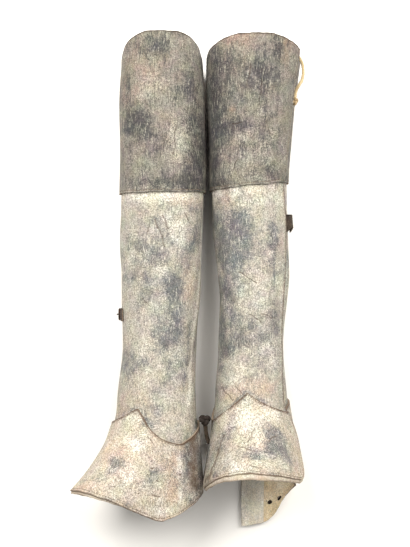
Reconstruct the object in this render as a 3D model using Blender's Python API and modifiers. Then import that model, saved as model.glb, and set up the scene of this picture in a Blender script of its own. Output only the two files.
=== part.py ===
"""A pair of tall leather spats, lying on their backs side by side.

Each spat is cut from three panels that wrap the leg and lap over themselves down the outer side:
a knee piece, a leg panel and a flared foot piece. All panels share one form, and each is a flat
grid wrapped round it, one leather layer further out where it covers its neighbour.

Frame: +Y runs up the leg, +X to the wearer's right hand side of the pair, +Z up from the surface
the pair lies on. Metres throughout, angles in degrees.
"""

import math

import bmesh
import bpy
from mathutils import Vector

# Middle of the pair as laid out, moved to the origin at the end
MIDDLE = (-0.02144, -0.01799)

# Leather
LEATHER = 0.003
SEAM_GAP = 0.0003
LAYER = LEATHER + SEAM_GAP
SEAM_LAP = 0.014

# The wrap of a panel: columns of the grid, and the closure that laps over itself
COLUMN = 12.0
LAP_COLUMNS = 2
WRAP = 360.0 + LAP_COLUMNS * COLUMN
WRAP_COLUMNS = int(WRAP / COLUMN)
LAP_DROP = 2 * LAYER + 0.0004
LAP_RAMP = 40.0
LAP_RAMP_RUN = 36.0

# The section of the leg
ROUNDNESS = 2.2
FLAT_SINK = 0.005

# The rim starts to fall away this far from the front, and the hem to rise towards the heel
RIM_START = 16.0
RIM_RUN = 92.0
HEEL_START = 50.0
HEEL_RUN = 85.0
HEM_SIDE = 58.0
HEEL_LEVEL = (150.0, 30.0)

# Where the closure's lean sets in and dies away again: start and run of each
LEAN_IN = (20.0, 35.0)
LEAN_OUT = (110.0, 60.0)

# The ankle seam: its lowest corner each side of the peak, and its rise beyond
SEAM_CORNER = 72.0
SEAM_RISE = 0.54
SEAM_RISE_RUN = 50.0

# The flare of the foot piece
FLARE_REACH = 0.094
FLARE_RUN = 0.127
FLARE_POWER = 1.7
FLARE_BLEND = 0.05
FLARE_MOST = 0.14

# A station of the form: y, centre x, half width, height, height of the flat above the surface,
# turn of the spat's front line from straight up, and how far the closure's edge leans past its turn
SPATS = {
    "left": {
        "outer": -1,
        "stations": (
            (0.355, -0.0645, 0.0550, 0.112, LAYER, 0.0, 18.0),
            (0.320, -0.0645, 0.0575, 0.114, LAYER, 0.0, 18.0),
            (0.260, -0.0634, 0.0601, 0.116, LAYER, 0.0, 18.0),
            (0.133, -0.0630, 0.0616, 0.119, 0.0044, -2.0, 16.0),
            (0.033, -0.0654, 0.0606, 0.119, 0.0000, -8.0, 10.0),
            (-0.040, -0.0664, 0.0581, 0.112, 0.0020, -14.0, 4.0),
            (-0.115, -0.0685, 0.0553, 0.104, 0.0070, -20.0, 0.0),
            (-0.190, -0.0722, 0.0590, 0.104, 0.0090, -25.0, 0.0),
            (-0.250, -0.0708, 0.0625, 0.108, 0.0036, -40.0, 0.0),
            (-0.400, -0.0715, 0.0625, 0.110, 0.0030, -52.0, 0.0),
        ),
        "closure": 72.0,
        "rim": {"front": 0.354, "drop": 0.036, "tilt": 0.0},
        "knee_seam": {"front": 0.119, "tilt": -0.001},
        "peak": -0.197,
        "flare_top": -0.187,
        "seam_depth": {"inner": 0.052, "outer": 0.030},
        "hem": {"tip": -0.312, "inner": 0.044, "outer": 0.030, "heel_in": -0.322, "heel_out": -0.325},
        "flare_width": 0.008,
        "welt_reach": (0.0016, 0.0),
    },
    "right": {
        "outer": 1,
        "stations": (
            (0.355, 0.0745, 0.0700, 0.124, LAYER, 0.0, -8.0),
            (0.320, 0.0735, 0.0685, 0.122, LAYER, 0.0, -8.0),
            (0.260, 0.0705, 0.0640, 0.120, LAYER, 0.0, -10.0),
            (0.200, 0.0680, 0.0595, 0.118, LAYER, 0.0, -11.0),
            (0.133, 0.0665, 0.0565, 0.116, 0.0042, 0.0, -12.0),
            (0.060, 0.0705, 0.0563, 0.116, 0.0000, -1.0, -14.0),
            (0.000, 0.0726, 0.0539, 0.112, 0.0010, -2.0, -14.0),
            (-0.040, 0.0728, 0.0506, 0.108, 0.0030, -3.0, -12.0),
            (-0.115, 0.0703, 0.0493, 0.102, 0.0080, -5.0, -8.0),
            (-0.190, 0.0692, 0.0542, 0.104, 0.0090, -8.0, -2.0),
            (-0.250, 0.0745, 0.0580, 0.108, 0.0036, -5.0, 9.0),
            (-0.400, 0.0755, 0.0600, 0.110, 0.0030, -4.0, 9.0),
        ),
        "closure": 72.0,
        "rim": {"front": 0.349, "drop": 0.034, "tilt": 0.0},
        "knee_seam": {"front": 0.129, "tilt": 0.006},
        "peak": -0.174,
        "flare_top": -0.169,
        "seam_depth": {"inner": 0.045, "outer": 0.031},
        "hem": {"tip": -0.282, "inner": 0.034, "outer": 0.024, "heel_in": -0.300, "heel_out": -0.304},
        "flare_width": 0.013,
        "welt_reach": (0.0030, 0.0025),
    },
}

KNEE_ROWS = 7
LEG_ROWS = 9
FOOT_ROWS = 8

# Welt sewn inside the hem over the instep
WELT = 0.002
WELT_CLEAR = 0.0008
WELT_TURNS = (-72.0, 48.0)

# Heel pieces inside the right foot: turns counted from the panel's inner end
QUARTER_TURNS = (-252.0, -168.0)
QUARTER_ROWS = 5
QUARTER_TOP = -0.240
STAY_TURNS = (-192.0, -156.0)
STAY_HEM = -0.389
STAY_CORNER = -0.384
HEEL_LIFT = -0.0006
# The quarter's lower edge rises in two sweeps from its corner: rise, start and run of each
QUARTER_SWEEPS = ((0.060, 185.0, 90.0), (0.010, 205.0, 30.0))
LACE_HOLES = ((0.1000, -0.352, 0.0065), (0.1160, -0.345, 0.0050))

# Strap keeper on the right leg
KEEPER_TURNS = (-276.0, -250.0)
KEEPER_ENDS = (0.061, 0.088)
KEEPER_RISE = 0.0075
KEEPER_WALL = 0.0018

# Twine through the right knee piece: turn, y, height above the leather
TWINE = 0.0038
TWINE_PATH = (
    (74.0, 0.3200, 0.0026),
    (79.0, 0.3185, 0.0045),
    (83.0, 0.3100, 0.0080),
    (85.0, 0.2980, 0.0100),
    (85.0, 0.2880, 0.0095),
    (84.0, 0.2810, 0.0070),
    (83.0, 0.2740, 0.0048),
    (82.0, 0.2660, 0.0045),
    (81.0, 0.2600, 0.0052),
)
TWINE_KNOT = (81.0, 0.2555, 0.0056)
TWINE_KNOT_SIZE = (0.0052, 0.0060, 0.0052)

# Strap fittings of the left spat
TAB_TURNS = (48.0, 72.0)
TAB_ENDS = (-0.071, -0.052)
TAB_WALL = 0.0018
BUCKLE_TURN = 76.0
BUCKLE_LIFT = 0.0046
BUCKLE_SIZE = (0.012, 0.016)
BUCKLE_WIRE = 0.0024
TONGUE_WIRE = 0.0020
STUB_TURN = -98.0
STUB_Y = -0.2215
STUB_SIZE = (0.0155, 0.0145, 0.0120)
STUB_CLEAR = 0.005


def smooth(value):
    """0 below 0, 1 above 1, with a soft start and end between."""
    value = min(1.0, max(0.0, value))
    return value * value * (3 - 2 * value)


def signed(turn):
    """The turn as an angle from -180 to 180."""
    return (turn + 180) % 360 - 180


def station(spat, y):
    """The section's values at y, on smooth curves through the stations."""
    rows = spat["stations"]
    y = min(rows[0][0], max(rows[-1][0], y))
    last = len(rows) - 1
    i = next(k for k in range(last) if y >= rows[k + 1][0])
    span = rows[i + 1][0] - rows[i][0]
    t = (y - rows[i][0]) / span
    found = []
    for column in range(1, len(rows[0])):
        slopes = []
        for k in (i, i + 1):
            before, after = max(k - 1, 0), min(k + 1, last)
            rise = rows[after][column] - rows[before][column]
            slopes.append(rise / (rows[after][0] - rows[before][0]) * span)
        start, end = rows[i][column], rows[i + 1][column]
        found.append(
            start * (2 * t**3 - 3 * t**2 + 1)
            + slopes[0] * (t**3 - 2 * t**2 + t)
            + end * (3 * t**2 - 2 * t**3)
            + slopes[1] * (t**3 - t**2)
        )
    return found


def leaned(turn, lean):
    """The turn moved on by the closure's lean."""
    away = signed(turn)
    come, gone = (smooth((away - start) / run) for start, run in (LEAN_IN, LEAN_OUT))
    return turn + lean * come * (1 - gone)


def bare_point(spat, turn, y):
    """A point on the form, turn degrees from the front line to the outer side, and its flat's height."""
    centre_x, half_width, height, flat, front, lean = station(spat, y)
    turn = leaned(turn, lean)
    angle = math.radians(front + spat["outer"] * turn)
    half_height = (height + FLAT_SINK) / 2
    centre_z = flat + height - half_height
    side, up = abs(math.sin(angle)) / half_width, abs(math.cos(angle)) / half_height
    radius = (side**ROUNDNESS + up**ROUNDNESS) ** (-1 / ROUNDNESS)
    below = spat["flare_top"] - y
    if below > 0:
        run = min(below, FLARE_MOST) / FLARE_RUN
        ahead = math.cos(math.radians(turn))
        across = math.sin(math.radians(turn))
        reach = half_height + (FLARE_REACH * run**FLARE_POWER if ahead > 0 else 0.0)
        wide = half_width + spat["flare_width"] * run**FLARE_POWER
        foot = ((across / wide) ** 2 + (ahead / reach) ** 2) ** -0.5
        radius += (foot - radius) * smooth(below / FLARE_BLEND)
    return Vector((centre_x + radius * math.sin(angle), y, centre_z + radius * math.cos(angle))), flat


def form_point(spat, turn, y, lift=0.0):
    """The form's point moved out by lift along its normal, and kept on its flat underneath."""
    point, flat = bare_point(spat, turn, y)
    step = 0.5
    round_it = bare_point(spat, turn + step, y)[0] - bare_point(spat, turn - step, y)[0]
    along = bare_point(spat, turn, y + 0.001)[0] - bare_point(spat, turn, y - 0.001)[0]
    normal = round_it.cross(along).normalized() * spat["outer"]
    point = point + normal * lift
    point.z = max(point.z, flat - lift, 0.0)
    return point


def lap_lift(spat, turn):
    """How far the panel has moved in where it runs under its own outer edge."""
    start = spat["closure"] - 360 + LAP_RAMP
    return -LAP_DROP * smooth((start - turn) / LAP_RAMP_RUN)


def part_towards(spat_values, turn):
    """The value for the side that the turn leans to."""
    return spat_values["outer"] if signed(turn) > 0 else spat_values["inner"]


def rim_line(spat, turn):
    """Top edge: domed over the front, lower at the sides and behind."""
    rim = spat["rim"]
    away = abs(signed(leaned(turn, spat["stations"][0][-1])))
    drop = rim["drop"] * smooth((away - RIM_START) / RIM_RUN)
    return rim["front"] - drop + rim["tilt"] * math.sin(math.radians(turn))


def knee_line(spat, turn):
    """Lower edge of the knee piece."""
    seam = spat["knee_seam"]
    return seam["front"] + seam["tilt"] * math.sin(math.radians(turn))


def ankle_line(spat, turn):
    """Upper edge of the foot piece: a peak at the front, a dip each side, and up again behind."""
    away = abs(signed(turn))
    down = math.sin(math.radians(90 * away / SEAM_CORNER))
    dip = down if away < SEAM_CORNER else 1 - SEAM_RISE * min(1.0, (away - SEAM_CORNER) / SEAM_RISE_RUN)
    return spat["peak"] - part_towards(spat["seam_depth"], turn) * dip


def hem_line(spat, turn):
    """Lower edge of the foot piece: short over the instep, long at the sides, level behind."""
    hem = spat["hem"]
    away = abs(signed(turn))
    side = hem["tip"] - part_towards(hem, turn) * smooth(away / HEM_SIDE)
    heel = hem["heel_out"] if signed(turn) > 0 else hem["heel_in"]
    middle = (hem["heel_out"] + hem["heel_in"]) / 2
    heel += (middle - heel) * smooth((away - HEEL_LEVEL[0]) / HEEL_LEVEL[1])
    return side + (heel - side) * smooth((away - HEEL_START) / HEEL_RUN)


def leather(name, red, green, blue, roughness=0.75, metallic=0.0):
    """A plain surface for one kind of piece."""
    material = bpy.data.materials.new(name)
    material.use_nodes = True
    shader = material.node_tree.nodes["Principled BSDF"]
    shader.inputs["Base Color"].default_value = (red, green, blue, 1)
    shader.inputs["Roughness"].default_value = roughness
    shader.inputs["Metallic"].default_value = metallic
    return material


def sheet(name, columns, rows, place, material, thickness=LEATHER):
    """A flat grid whose points go where place(u, v) says, made a wall by Solidify on its inner side."""
    bpy.ops.mesh.primitive_grid_add(x_subdivisions=columns, y_subdivisions=rows, size=1)
    piece = bpy.context.object
    piece.name = name
    for vertex in piece.data.vertices:
        vertex.co = place(vertex.co.x + 0.5, vertex.co.y + 0.5)
    piece.data.materials.append(material)
    wall = piece.modifiers.new("wall", "SOLIDIFY")
    wall.thickness = thickness
    wall.offset = -1
    wall.use_even_offset = True
    piece.data.shade_smooth()
    piece.data.set_sharp_from_angle(angle=math.radians(40))
    keep(piece)
    return piece


def between(low, high, rows):
    """Edge lines for the rows from low to high, both included."""
    return [lambda turn, k=k: low(turn) + (high(turn) - low(turn)) * k / rows for k in range(rows + 1)]


def wrapped(name, spat, lines, lift, material):
    """A panel wrapped right round the form, its rows on the edge lines given."""
    low = spat["closure"] - WRAP

    def place(u, v):
        turn = low + WRAP * (u if spat["outer"] > 0 else 1 - u)
        y = lines[round(v * (len(lines) - 1))](turn)
        return form_point(spat, turn, y, lift + lap_lift(spat, turn))

    return sheet(name, WRAP_COLUMNS, len(lines) - 1, place, material)


def build_panels(side, spat, finishes):
    """The three panels of one spat. Where two lap, their rows are shared."""

    def rim(turn):
        return rim_line(spat, turn)

    def knee(turn):
        return knee_line(spat, turn)

    def above_knee(turn):
        return knee_line(spat, turn) + SEAM_LAP

    def ankle(turn):
        return ankle_line(spat, turn)

    def below_ankle(turn):
        return ankle_line(spat, turn) - SEAM_LAP

    def hem(turn):
        return hem_line(spat, turn)

    knee_rows = [knee, *between(above_knee, rim, KNEE_ROWS)]
    leg_rows = [below_ankle, *between(ankle, knee, LEG_ROWS), above_knee]
    foot_rows = [*between(hem, below_ankle, FOOT_ROWS), ankle]
    wrapped(f"knee_piece_{side}", spat, knee_rows, LAYER, finishes["knee"])
    wrapped(f"leg_panel_{side}", spat, leg_rows, 0.0, finishes["leg"])
    wrapped(f"foot_piece_{side}", spat, foot_rows, LAYER, finishes["foot"])


def patch(name, spat, turns, columns, lines, lift, material, thickness=LEATHER):
    """A panel over part of the turn; lift is a number, or a height for each place across it."""
    low, high = turns

    def place(u, v):
        across = u if spat["outer"] > 0 else 1 - u
        turn = low + (high - low) * across
        y = lines[round(v * (len(lines) - 1))](turn)
        rise = lift(across) if callable(lift) else lift
        return form_point(spat, turn, y, rise + lap_lift(spat, turn))

    return sheet(name, columns, len(lines) - 1, place, material, thickness)


def level(y):
    """An edge line that runs straight round at y."""
    return lambda turn: y


def keep(piece):
    """Puts a piece in the pair's collection."""
    for collection in piece.users_collection:
        collection.objects.unlink(piece)
    bpy.data.collections["tall_spats"].objects.link(piece)


def build_welt(side, spat, material):
    """The band under the hem of the instep, its inner rows on the foot piece's own."""

    def hem(turn):
        return hem_line(spat, turn)

    def edge(turn):
        least, more = spat["welt_reach"]
        return hem_line(spat, turn) - least - more * math.cos(math.radians(turn * 1.1)) ** 2

    def inside(turn):
        return hem(turn) + (ankle_line(spat, turn) - SEAM_LAP - hem(turn)) / FOOT_ROWS

    columns = round((WELT_TURNS[1] - WELT_TURNS[0]) / COLUMN)
    patch(f"hem_welt_{side}", spat, WELT_TURNS, columns, [edge, hem, inside], -WELT_CLEAR, material, WELT)


def build_heel(spat, finishes):
    """The right spat's heel quarter, punched for its lacing, and the stiff stay sewn along its end."""

    def quarter_hem(turn):
        sweeps = (rise * smooth((-turn - start) / run) for rise, start, run in QUARTER_SWEEPS)
        return STAY_CORNER + sum(sweeps)

    quarter_columns = round((QUARTER_TURNS[1] - QUARTER_TURNS[0]) / COLUMN)
    lines = between(quarter_hem, level(QUARTER_TOP), QUARTER_ROWS)
    name = "heel_quarter_right"
    quarter = patch(name, spat, QUARTER_TURNS, quarter_columns, lines, HEEL_LIFT, finishes["heel"])
    for count, (x, y, size) in enumerate(LACE_HOLES):
        bpy.ops.mesh.primitive_cylinder_add(vertices=10, radius=size / 2, depth=0.04, location=(x, y, 0.01))
        punch = bpy.context.object
        punch.name = f"lace_hole_{count + 1}"
        punch.hide_render = True
        punch.display_type = "WIRE"
        for collection in punch.users_collection:
            collection.objects.unlink(punch)
        bpy.data.collections["cutters"].objects.link(punch)
        hole = quarter.modifiers.new(punch.name, "BOOLEAN")
        hole.operation = "DIFFERENCE"
        hole.solver = "EXACT"
        hole.object = punch

    def stay_hem(turn):
        across = (STAY_TURNS[1] - turn) / (STAY_TURNS[1] - STAY_TURNS[0])
        return STAY_HEM + (STAY_CORNER - STAY_HEM) * smooth(across)

    stay_columns = round((STAY_TURNS[1] - STAY_TURNS[0]) / COLUMN)
    lines = between(stay_hem, level(QUARTER_TOP), QUARTER_ROWS)
    patch("heel_stay_right", spat, STAY_TURNS, stay_columns, lines, HEEL_LIFT - LAYER, finishes["stay"])


def build_keeper(spat, material):
    """The loop that held a strap's end, standing off the leg's outer side."""
    foot = KEEPER_WALL + 0.0010

    def rise(across):
        return foot + KEEPER_RISE * math.sin(math.pi * across) ** 0.6

    lines = [level(KEEPER_ENDS[0]), level(sum(KEEPER_ENDS) / 2), level(KEEPER_ENDS[1])]
    patch("strap_keeper_right", spat, KEEPER_TURNS, 8, lines, rise, material, KEEPER_WALL)


def tube(name, points, width, material, cyclic=False):
    """A round cord or wire through the points."""
    curve = bpy.data.curves.new(name, "CURVE")
    curve.dimensions = "3D"
    curve.bevel_depth = width / 2
    curve.bevel_resolution = 2
    curve.use_fill_caps = not cyclic
    spline = curve.splines.new("POLY")
    spline.points.add(len(points) - 1)
    for place, point in zip(spline.points, points):
        place.co = (*point, 1)
    spline.use_cyclic_u = cyclic
    curve.materials.append(material)
    piece = bpy.data.objects.new(name, curve)
    bpy.data.collections["tall_spats"].objects.link(piece)
    return piece


def lump(name, centre, size, material):
    """A small knotted lump."""
    bpy.ops.mesh.primitive_uv_sphere_add(segments=12, ring_count=8, radius=0.5)
    piece = bpy.context.object
    piece.name = name
    for vertex in piece.data.vertices:
        ridge = 1 + 0.10 * math.cos(3 * math.atan2(vertex.co.y, vertex.co.x) + 6 * vertex.co.z)
        vertex.co = Vector(centre) + Vector(a * b * ridge for a, b in zip(vertex.co, size))
    piece.data.materials.append(material)
    piece.data.shade_smooth()
    keep(piece)
    return piece


def curve_through(points, steps):
    """Places along a smooth curve through the points."""
    found = []
    for k in range(len(points) - 1):
        before, after = points[max(k - 1, 0)], points[min(k + 2, len(points) - 1)]
        start, end = points[k], points[k + 1]
        for j in range(steps):
            t = j / steps
            found.append(
                0.5
                * (
                    2 * start
                    + (end - before) * t
                    + (2 * before - 5 * start + 4 * end - after) * t**2
                    + (3 * start - before - 3 * end + after) * t**3
                )
            )
    found.append(points[-1])
    return found


def build_twine(spat, finishes):
    """The length of twine that hangs from a hole by the top edge, and its knotted end."""

    def above(turn, y, height):
        return form_point(spat, turn, y, LAYER + lap_lift(spat, turn - 360) + height)

    path = curve_through([above(*step) for step in TWINE_PATH], 2)
    tube("knee_twine_right", path, TWINE, finishes["twine"])
    lump("twine_knot_right", above(*TWINE_KNOT), TWINE_KNOT_SIZE, finishes["twine"])


def build_strap_end(spat, finishes):
    """The left spat's buckle on its leather tab, and the strap stub at the inner ankle."""
    tab_lift = TAB_WALL + 0.0008
    lines = [level(TAB_ENDS[0]), level(sum(TAB_ENDS) / 2), level(TAB_ENDS[1])]
    patch("buckle_tab_left", spat, TAB_TURNS, 4, lines, tab_lift, finishes["strap"], TAB_WALL)

    middle = sum(TAB_ENDS) / 2
    across, along = BUCKLE_SIZE[0] / 2, BUCKLE_SIZE[1] / 2
    root = form_point(spat, BUCKLE_TURN, middle, BUCKLE_LIFT)
    outward = (form_point(spat, BUCKLE_TURN, middle, 2 * BUCKLE_LIFT) - root).normalized()
    up = Vector((0, 1, 0))
    onward = up.cross(outward).normalized() * -1
    corners = []
    for a, b in ((1, 0.6), (0.6, 1), (-0.6, 1), (-1, 0.6), (-1, -0.6), (-0.6, -1), (0.6, -1), (1, -0.6)):
        corners.append(root + onward * across * a + up * along * b)
    tube("buckle_frame_left", corners, BUCKLE_WIRE, finishes["iron"], cyclic=True)
    above = outward * ((BUCKLE_WIRE + TONGUE_WIRE) / 2 + SEAM_GAP)
    tongue = [root + above + onward * across * a for a in (-1.3, -0.4, 0.5, 1.4)]
    tube("buckle_tongue_left", tongue, TONGUE_WIRE, finishes["iron"])

    stub = form_point(spat, STUB_TURN, STUB_Y, LAYER + STUB_SIZE[0] / 2 + STUB_CLEAR)
    lump("ankle_strap_stub_left", stub, STUB_SIZE, finishes["strap"])


def clear_scene():
    """An empty scene with a collection for the pieces and one for the cutters."""
    for thing in list(bpy.data.objects):
        bpy.data.objects.remove(thing)
    for name in ("tall_spats", "cutters"):
        collection = bpy.data.collections.new(name)
        bpy.context.scene.collection.children.link(collection)


def main():
    """Builds the pair."""
    clear_scene()
    finishes = {
        "knee": leather("blackened_leather", 0.20, 0.18, 0.16),
        "leg": leather("waxed_leather", 0.36, 0.33, 0.28),
        "foot": leather("bleached_leather", 0.48, 0.44, 0.36),
        "welt": leather("pale_leather", 0.62, 0.57, 0.47),
        "heel": leather("tan_leather", 0.55, 0.46, 0.30),
        "stay": leather("white_leather", 0.70, 0.68, 0.62),
        "strap": leather("brown_leather", 0.13, 0.08, 0.05),
        "twine": leather("hemp_twine", 0.62, 0.50, 0.30, 0.9),
        "iron": leather("rusted_iron", 0.05, 0.04, 0.03, 0.6, 0.8),
    }
    for side, spat in SPATS.items():
        build_panels(side, spat, finishes)
        build_welt(side, spat, finishes["welt"])
    build_heel(SPATS["right"], finishes)
    build_keeper(SPATS["right"], finishes["strap"])
    build_twine(SPATS["right"], finishes)
    build_strap_end(SPATS["left"], finishes)
    for name in ("tall_spats", "cutters"):
        for piece in bpy.data.collections[name].objects:
            piece.location -= Vector((*MIDDLE, 0.0))


main()
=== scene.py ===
import math
import random

import bmesh
import bpy
import numpy as np
from mathutils import Matrix, Vector


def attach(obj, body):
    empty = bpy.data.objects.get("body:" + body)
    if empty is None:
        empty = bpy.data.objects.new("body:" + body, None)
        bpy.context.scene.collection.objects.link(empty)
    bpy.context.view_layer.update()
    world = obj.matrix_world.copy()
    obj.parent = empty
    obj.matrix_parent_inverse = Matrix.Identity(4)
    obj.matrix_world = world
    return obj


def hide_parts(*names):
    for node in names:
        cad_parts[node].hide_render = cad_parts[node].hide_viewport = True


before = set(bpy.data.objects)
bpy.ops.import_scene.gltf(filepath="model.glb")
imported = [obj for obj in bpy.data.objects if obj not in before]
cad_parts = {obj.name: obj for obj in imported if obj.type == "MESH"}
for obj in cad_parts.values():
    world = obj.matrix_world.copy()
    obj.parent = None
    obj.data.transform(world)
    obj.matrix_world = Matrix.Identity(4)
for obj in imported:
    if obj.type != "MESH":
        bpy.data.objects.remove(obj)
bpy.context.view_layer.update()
random.seed(11)
print("frame loaded:", len(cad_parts), "nodes")

# the pair was laid out round another point: this brings the form's own numbers into the frame
middle = (-0.02144, -0.01799)

hide = {
    "wall": 0.003,
    "layer": 0.0033,
    "lapDrop": 0.007,
    "lapRamp": 40.0,
    "lapRampRun": 36.0,
    "wrap": 384.0,
    "seamLap": 0.014,
    "roundness": 2.2,
    "flatSink": 0.005,
    "flareReach": 0.094,
    "flareRun": 0.127,
    "flarePower": 1.7,
    "flareBlend": 0.05,
    "flareMost": 0.14,
}

# stations along each leg: y, centre x, half width, height, lift of the flat underside, turn of the
# front line, lean of the closure's edge
leftSpat = {
    "side": "left",
    "outer": -1,
    "stations": (
        (0.355, -0.0645, 0.0550, 0.112, 0.0033, 0.0, 18.0),
        (0.320, -0.0645, 0.0575, 0.114, 0.0033, 0.0, 18.0),
        (0.260, -0.0634, 0.0601, 0.116, 0.0033, 0.0, 18.0),
        (0.133, -0.0630, 0.0616, 0.119, 0.0044, -2.0, 16.0),
        (0.033, -0.0654, 0.0606, 0.119, 0.0000, -8.0, 10.0),
        (-0.040, -0.0664, 0.0581, 0.112, 0.0020, -14.0, 4.0),
        (-0.115, -0.0685, 0.0553, 0.104, 0.0070, -20.0, 0.0),
        (-0.190, -0.0722, 0.0590, 0.104, 0.0090, -25.0, 0.0),
        (-0.250, -0.0708, 0.0625, 0.108, 0.0036, -40.0, 0.0),
        (-0.400, -0.0715, 0.0625, 0.110, 0.0030, -52.0, 0.0),
    ),
    "closure": 72.0,
    "rim": {"front": 0.354, "drop": 0.036, "tilt": 0.000},
    "kneeSeam": {"front": 0.119, "tilt": -0.001},
    "peak": -0.197,
    "flareTop": -0.187,
    "seamDepth": {"inner": 0.052, "outer": 0.030},
    "hem": {"tip": -0.312, "inner": 0.044, "outer": 0.030, "heelIn": -0.322, "heelOut": -0.325, "corner": 0},
    "flareWidth": 0.008,
    "weltReach": (0.0016, 0.0),
    "seed": 3.0,
}
rightSpat = {
    "side": "right",
    "outer": 1,
    "stations": (
        (0.355, 0.0745, 0.0700, 0.124, 0.0033, 0.0, -8.0),
        (0.320, 0.0735, 0.0685, 0.122, 0.0033, 0.0, -8.0),
        (0.260, 0.0705, 0.0640, 0.120, 0.0033, 0.0, -10.0),
        (0.200, 0.0680, 0.0595, 0.118, 0.0033, 0.0, -11.0),
        (0.133, 0.0665, 0.0565, 0.116, 0.0042, 0.0, -12.0),
        (0.060, 0.0705, 0.0563, 0.116, 0.0000, -1.0, -14.0),
        (0.000, 0.0726, 0.0539, 0.112, 0.0010, -2.0, -14.0),
        (-0.040, 0.0728, 0.0506, 0.108, 0.0030, -3.0, -12.0),
        (-0.115, 0.0703, 0.0493, 0.102, 0.0080, -5.0, -8.0),
        (-0.190, 0.0692, 0.0542, 0.104, 0.0090, -8.0, -2.0),
        (-0.250, 0.0745, 0.0580, 0.108, 0.0036, -5.0, 9.0),
        (-0.400, 0.0755, 0.0600, 0.110, 0.0030, -4.0, 9.0),
    ),
    "closure": 72.0,
    "rim": {"front": 0.349, "drop": 0.034, "tilt": 0.000},
    "kneeSeam": {"front": 0.129, "tilt": 0.006},
    "peak": -0.174,
    "flareTop": -0.169,
    "seamDepth": {"inner": 0.045, "outer": 0.031},
    "hem": {"tip": -0.282, "inner": 0.034, "outer": 0.024, "heelIn": -0.3, "heelOut": -0.304, "corner": 0.022},
    "flareWidth": 0.013,
    "weltReach": (0.0030, 0.0025),
    "seed": 8.0,
}
corners = {"rimStart": 16.0, "rimRun": 92.0, "heelStart": 50.0, "heelRun": 85.0, "hemSide": 58.0}
ankle = {"corner": 72.0, "rise": 0.54, "riseRun": 50.0}


def smooth(value):
    value = np.clip(value, 0.0, 1.0)
    return value * value * (3 - 2 * value)


def signed(turn):
    return (turn + 180) % 360 - 180


# a smooth curve through each column of the stations
def sectionAt(spat, y):
    rows = np.array(spat["stations"])[::-1]
    heights = rows[:, 0]
    last = len(rows) - 1
    y = np.clip(y, heights[0], heights[last])
    before = np.maximum(np.arange(len(rows)) - 1, 0)
    after = np.minimum(np.arange(len(rows)) + 1, last)
    slopes = (rows[after] - rows[before]) / (heights[after] - heights[before])[:, None]
    i = np.clip(np.searchsorted(heights, y, side="right") - 1, 0, last - 1)
    span = (heights[i + 1] - heights[i])[:, None]
    t = (y - heights[i])[:, None] / span
    found = (
        rows[i] * (2 * t**3 - 3 * t**2 + 1)
        + slopes[i] * span * (t**3 - 2 * t**2 + t)
        + rows[i + 1] * (3 * t**2 - 2 * t**3)
        + slopes[i + 1] * span * (t**3 - t**2)
    )
    return found[:, 1:].T


# hollows and ridges: turn and y of both ends, depth (below 0 a ridge), half width
creases = {
    "left": (
        (-70, -0.255, -74, -0.318, -0.0022, 0.006),
        (-20, -0.150, 30, -0.158, 0.0008, 0.006),
        (-60, -0.172, -10, -0.180, 0.0009, 0.007),
        (-30, 0.085, -8, 0.040, 0.0010, 0.004),
        (-60, 0.100, -75, 0.030, 0.0008, 0.006),
        (20, 0.20, 30, 0.30, 0.0009, 0.010),
        (-50, 0.16, -42, 0.26, 0.0010, 0.012),
        (110, 0.05, 150, -0.02, 0.0012, 0.008),
        (-150, -0.10, -120, -0.16, 0.0012, 0.008),
        (-5, -0.225, 12, -0.290, 0.0012, 0.008),
        (-35, -0.270, -48, -0.330, 0.0012, 0.009),
    ),
    "right": (
        (-78, -0.236, -66, -0.300, 0.0022, 0.006),
        (-30, -0.130, 35, -0.138, 0.0009, 0.006),
        (-50, -0.152, 30, -0.160, 0.0010, 0.007),
        (28, 0.090, 30, -0.010, 0.0010, 0.006),
        (-30, 0.075, -34, -0.040, 0.0009, 0.007),
        (10, 0.180, 16, 0.300, 0.0010, 0.012),
        (-40, 0.160, -36, 0.280, 0.0010, 0.010),
        (150, 0.10, 120, 0.02, 0.0012, 0.008),
        (-140, -0.08, -110, -0.15, 0.0012, 0.008),
        (30, -0.215, 44, -0.270, 0.0012, 0.008),
        (-22, -0.225, -30, -0.262, 0.0010, 0.007),
    ),
}
perDegree = 0.001  # a degree of turn is about a millimetre of leather


# how far each point is from a line by turn and y, and how far along it
def besideLine(turn, y, ends):
    turnA, yA, turnB, yB = ends
    ax, ay = turnA * perDegree, yA
    bx, by = turnB * perDegree - ax, yB - yA
    px, py = turn * perDegree - ax, y - ay
    along = np.clip((px * bx + py * by) / (bx * bx + by * by), 0, 1)
    return np.hypot(px - along * bx, py - along * by), along


def unevenness(spat, turn, y):
    away = signed(turn)
    around = np.radians(away)
    seed = spat["seed"]
    uneven = 0.0009 * np.sin(3 * around + 17 * y + seed) * np.sin(21 * y + 2 * seed)
    uneven += 0.0006 * np.sin(5 * around - 31 * y + 3 * seed) + 0.0004 * np.sin(9 * around + 53 * y)
    for *ends, depth, width in creases[spat["side"]]:
        far, along = besideLine(away, y, ends)
        uneven -= depth * np.exp(-((far / width) ** 2)) * (0.35 + 0.65 * np.sin(np.pi * along))
    return uneven


def leaned(turn, lean):
    away = signed(turn)
    return turn + lean * smooth((away - 20) / 35) * (1 - smooth((away - 110) / 60))


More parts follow.
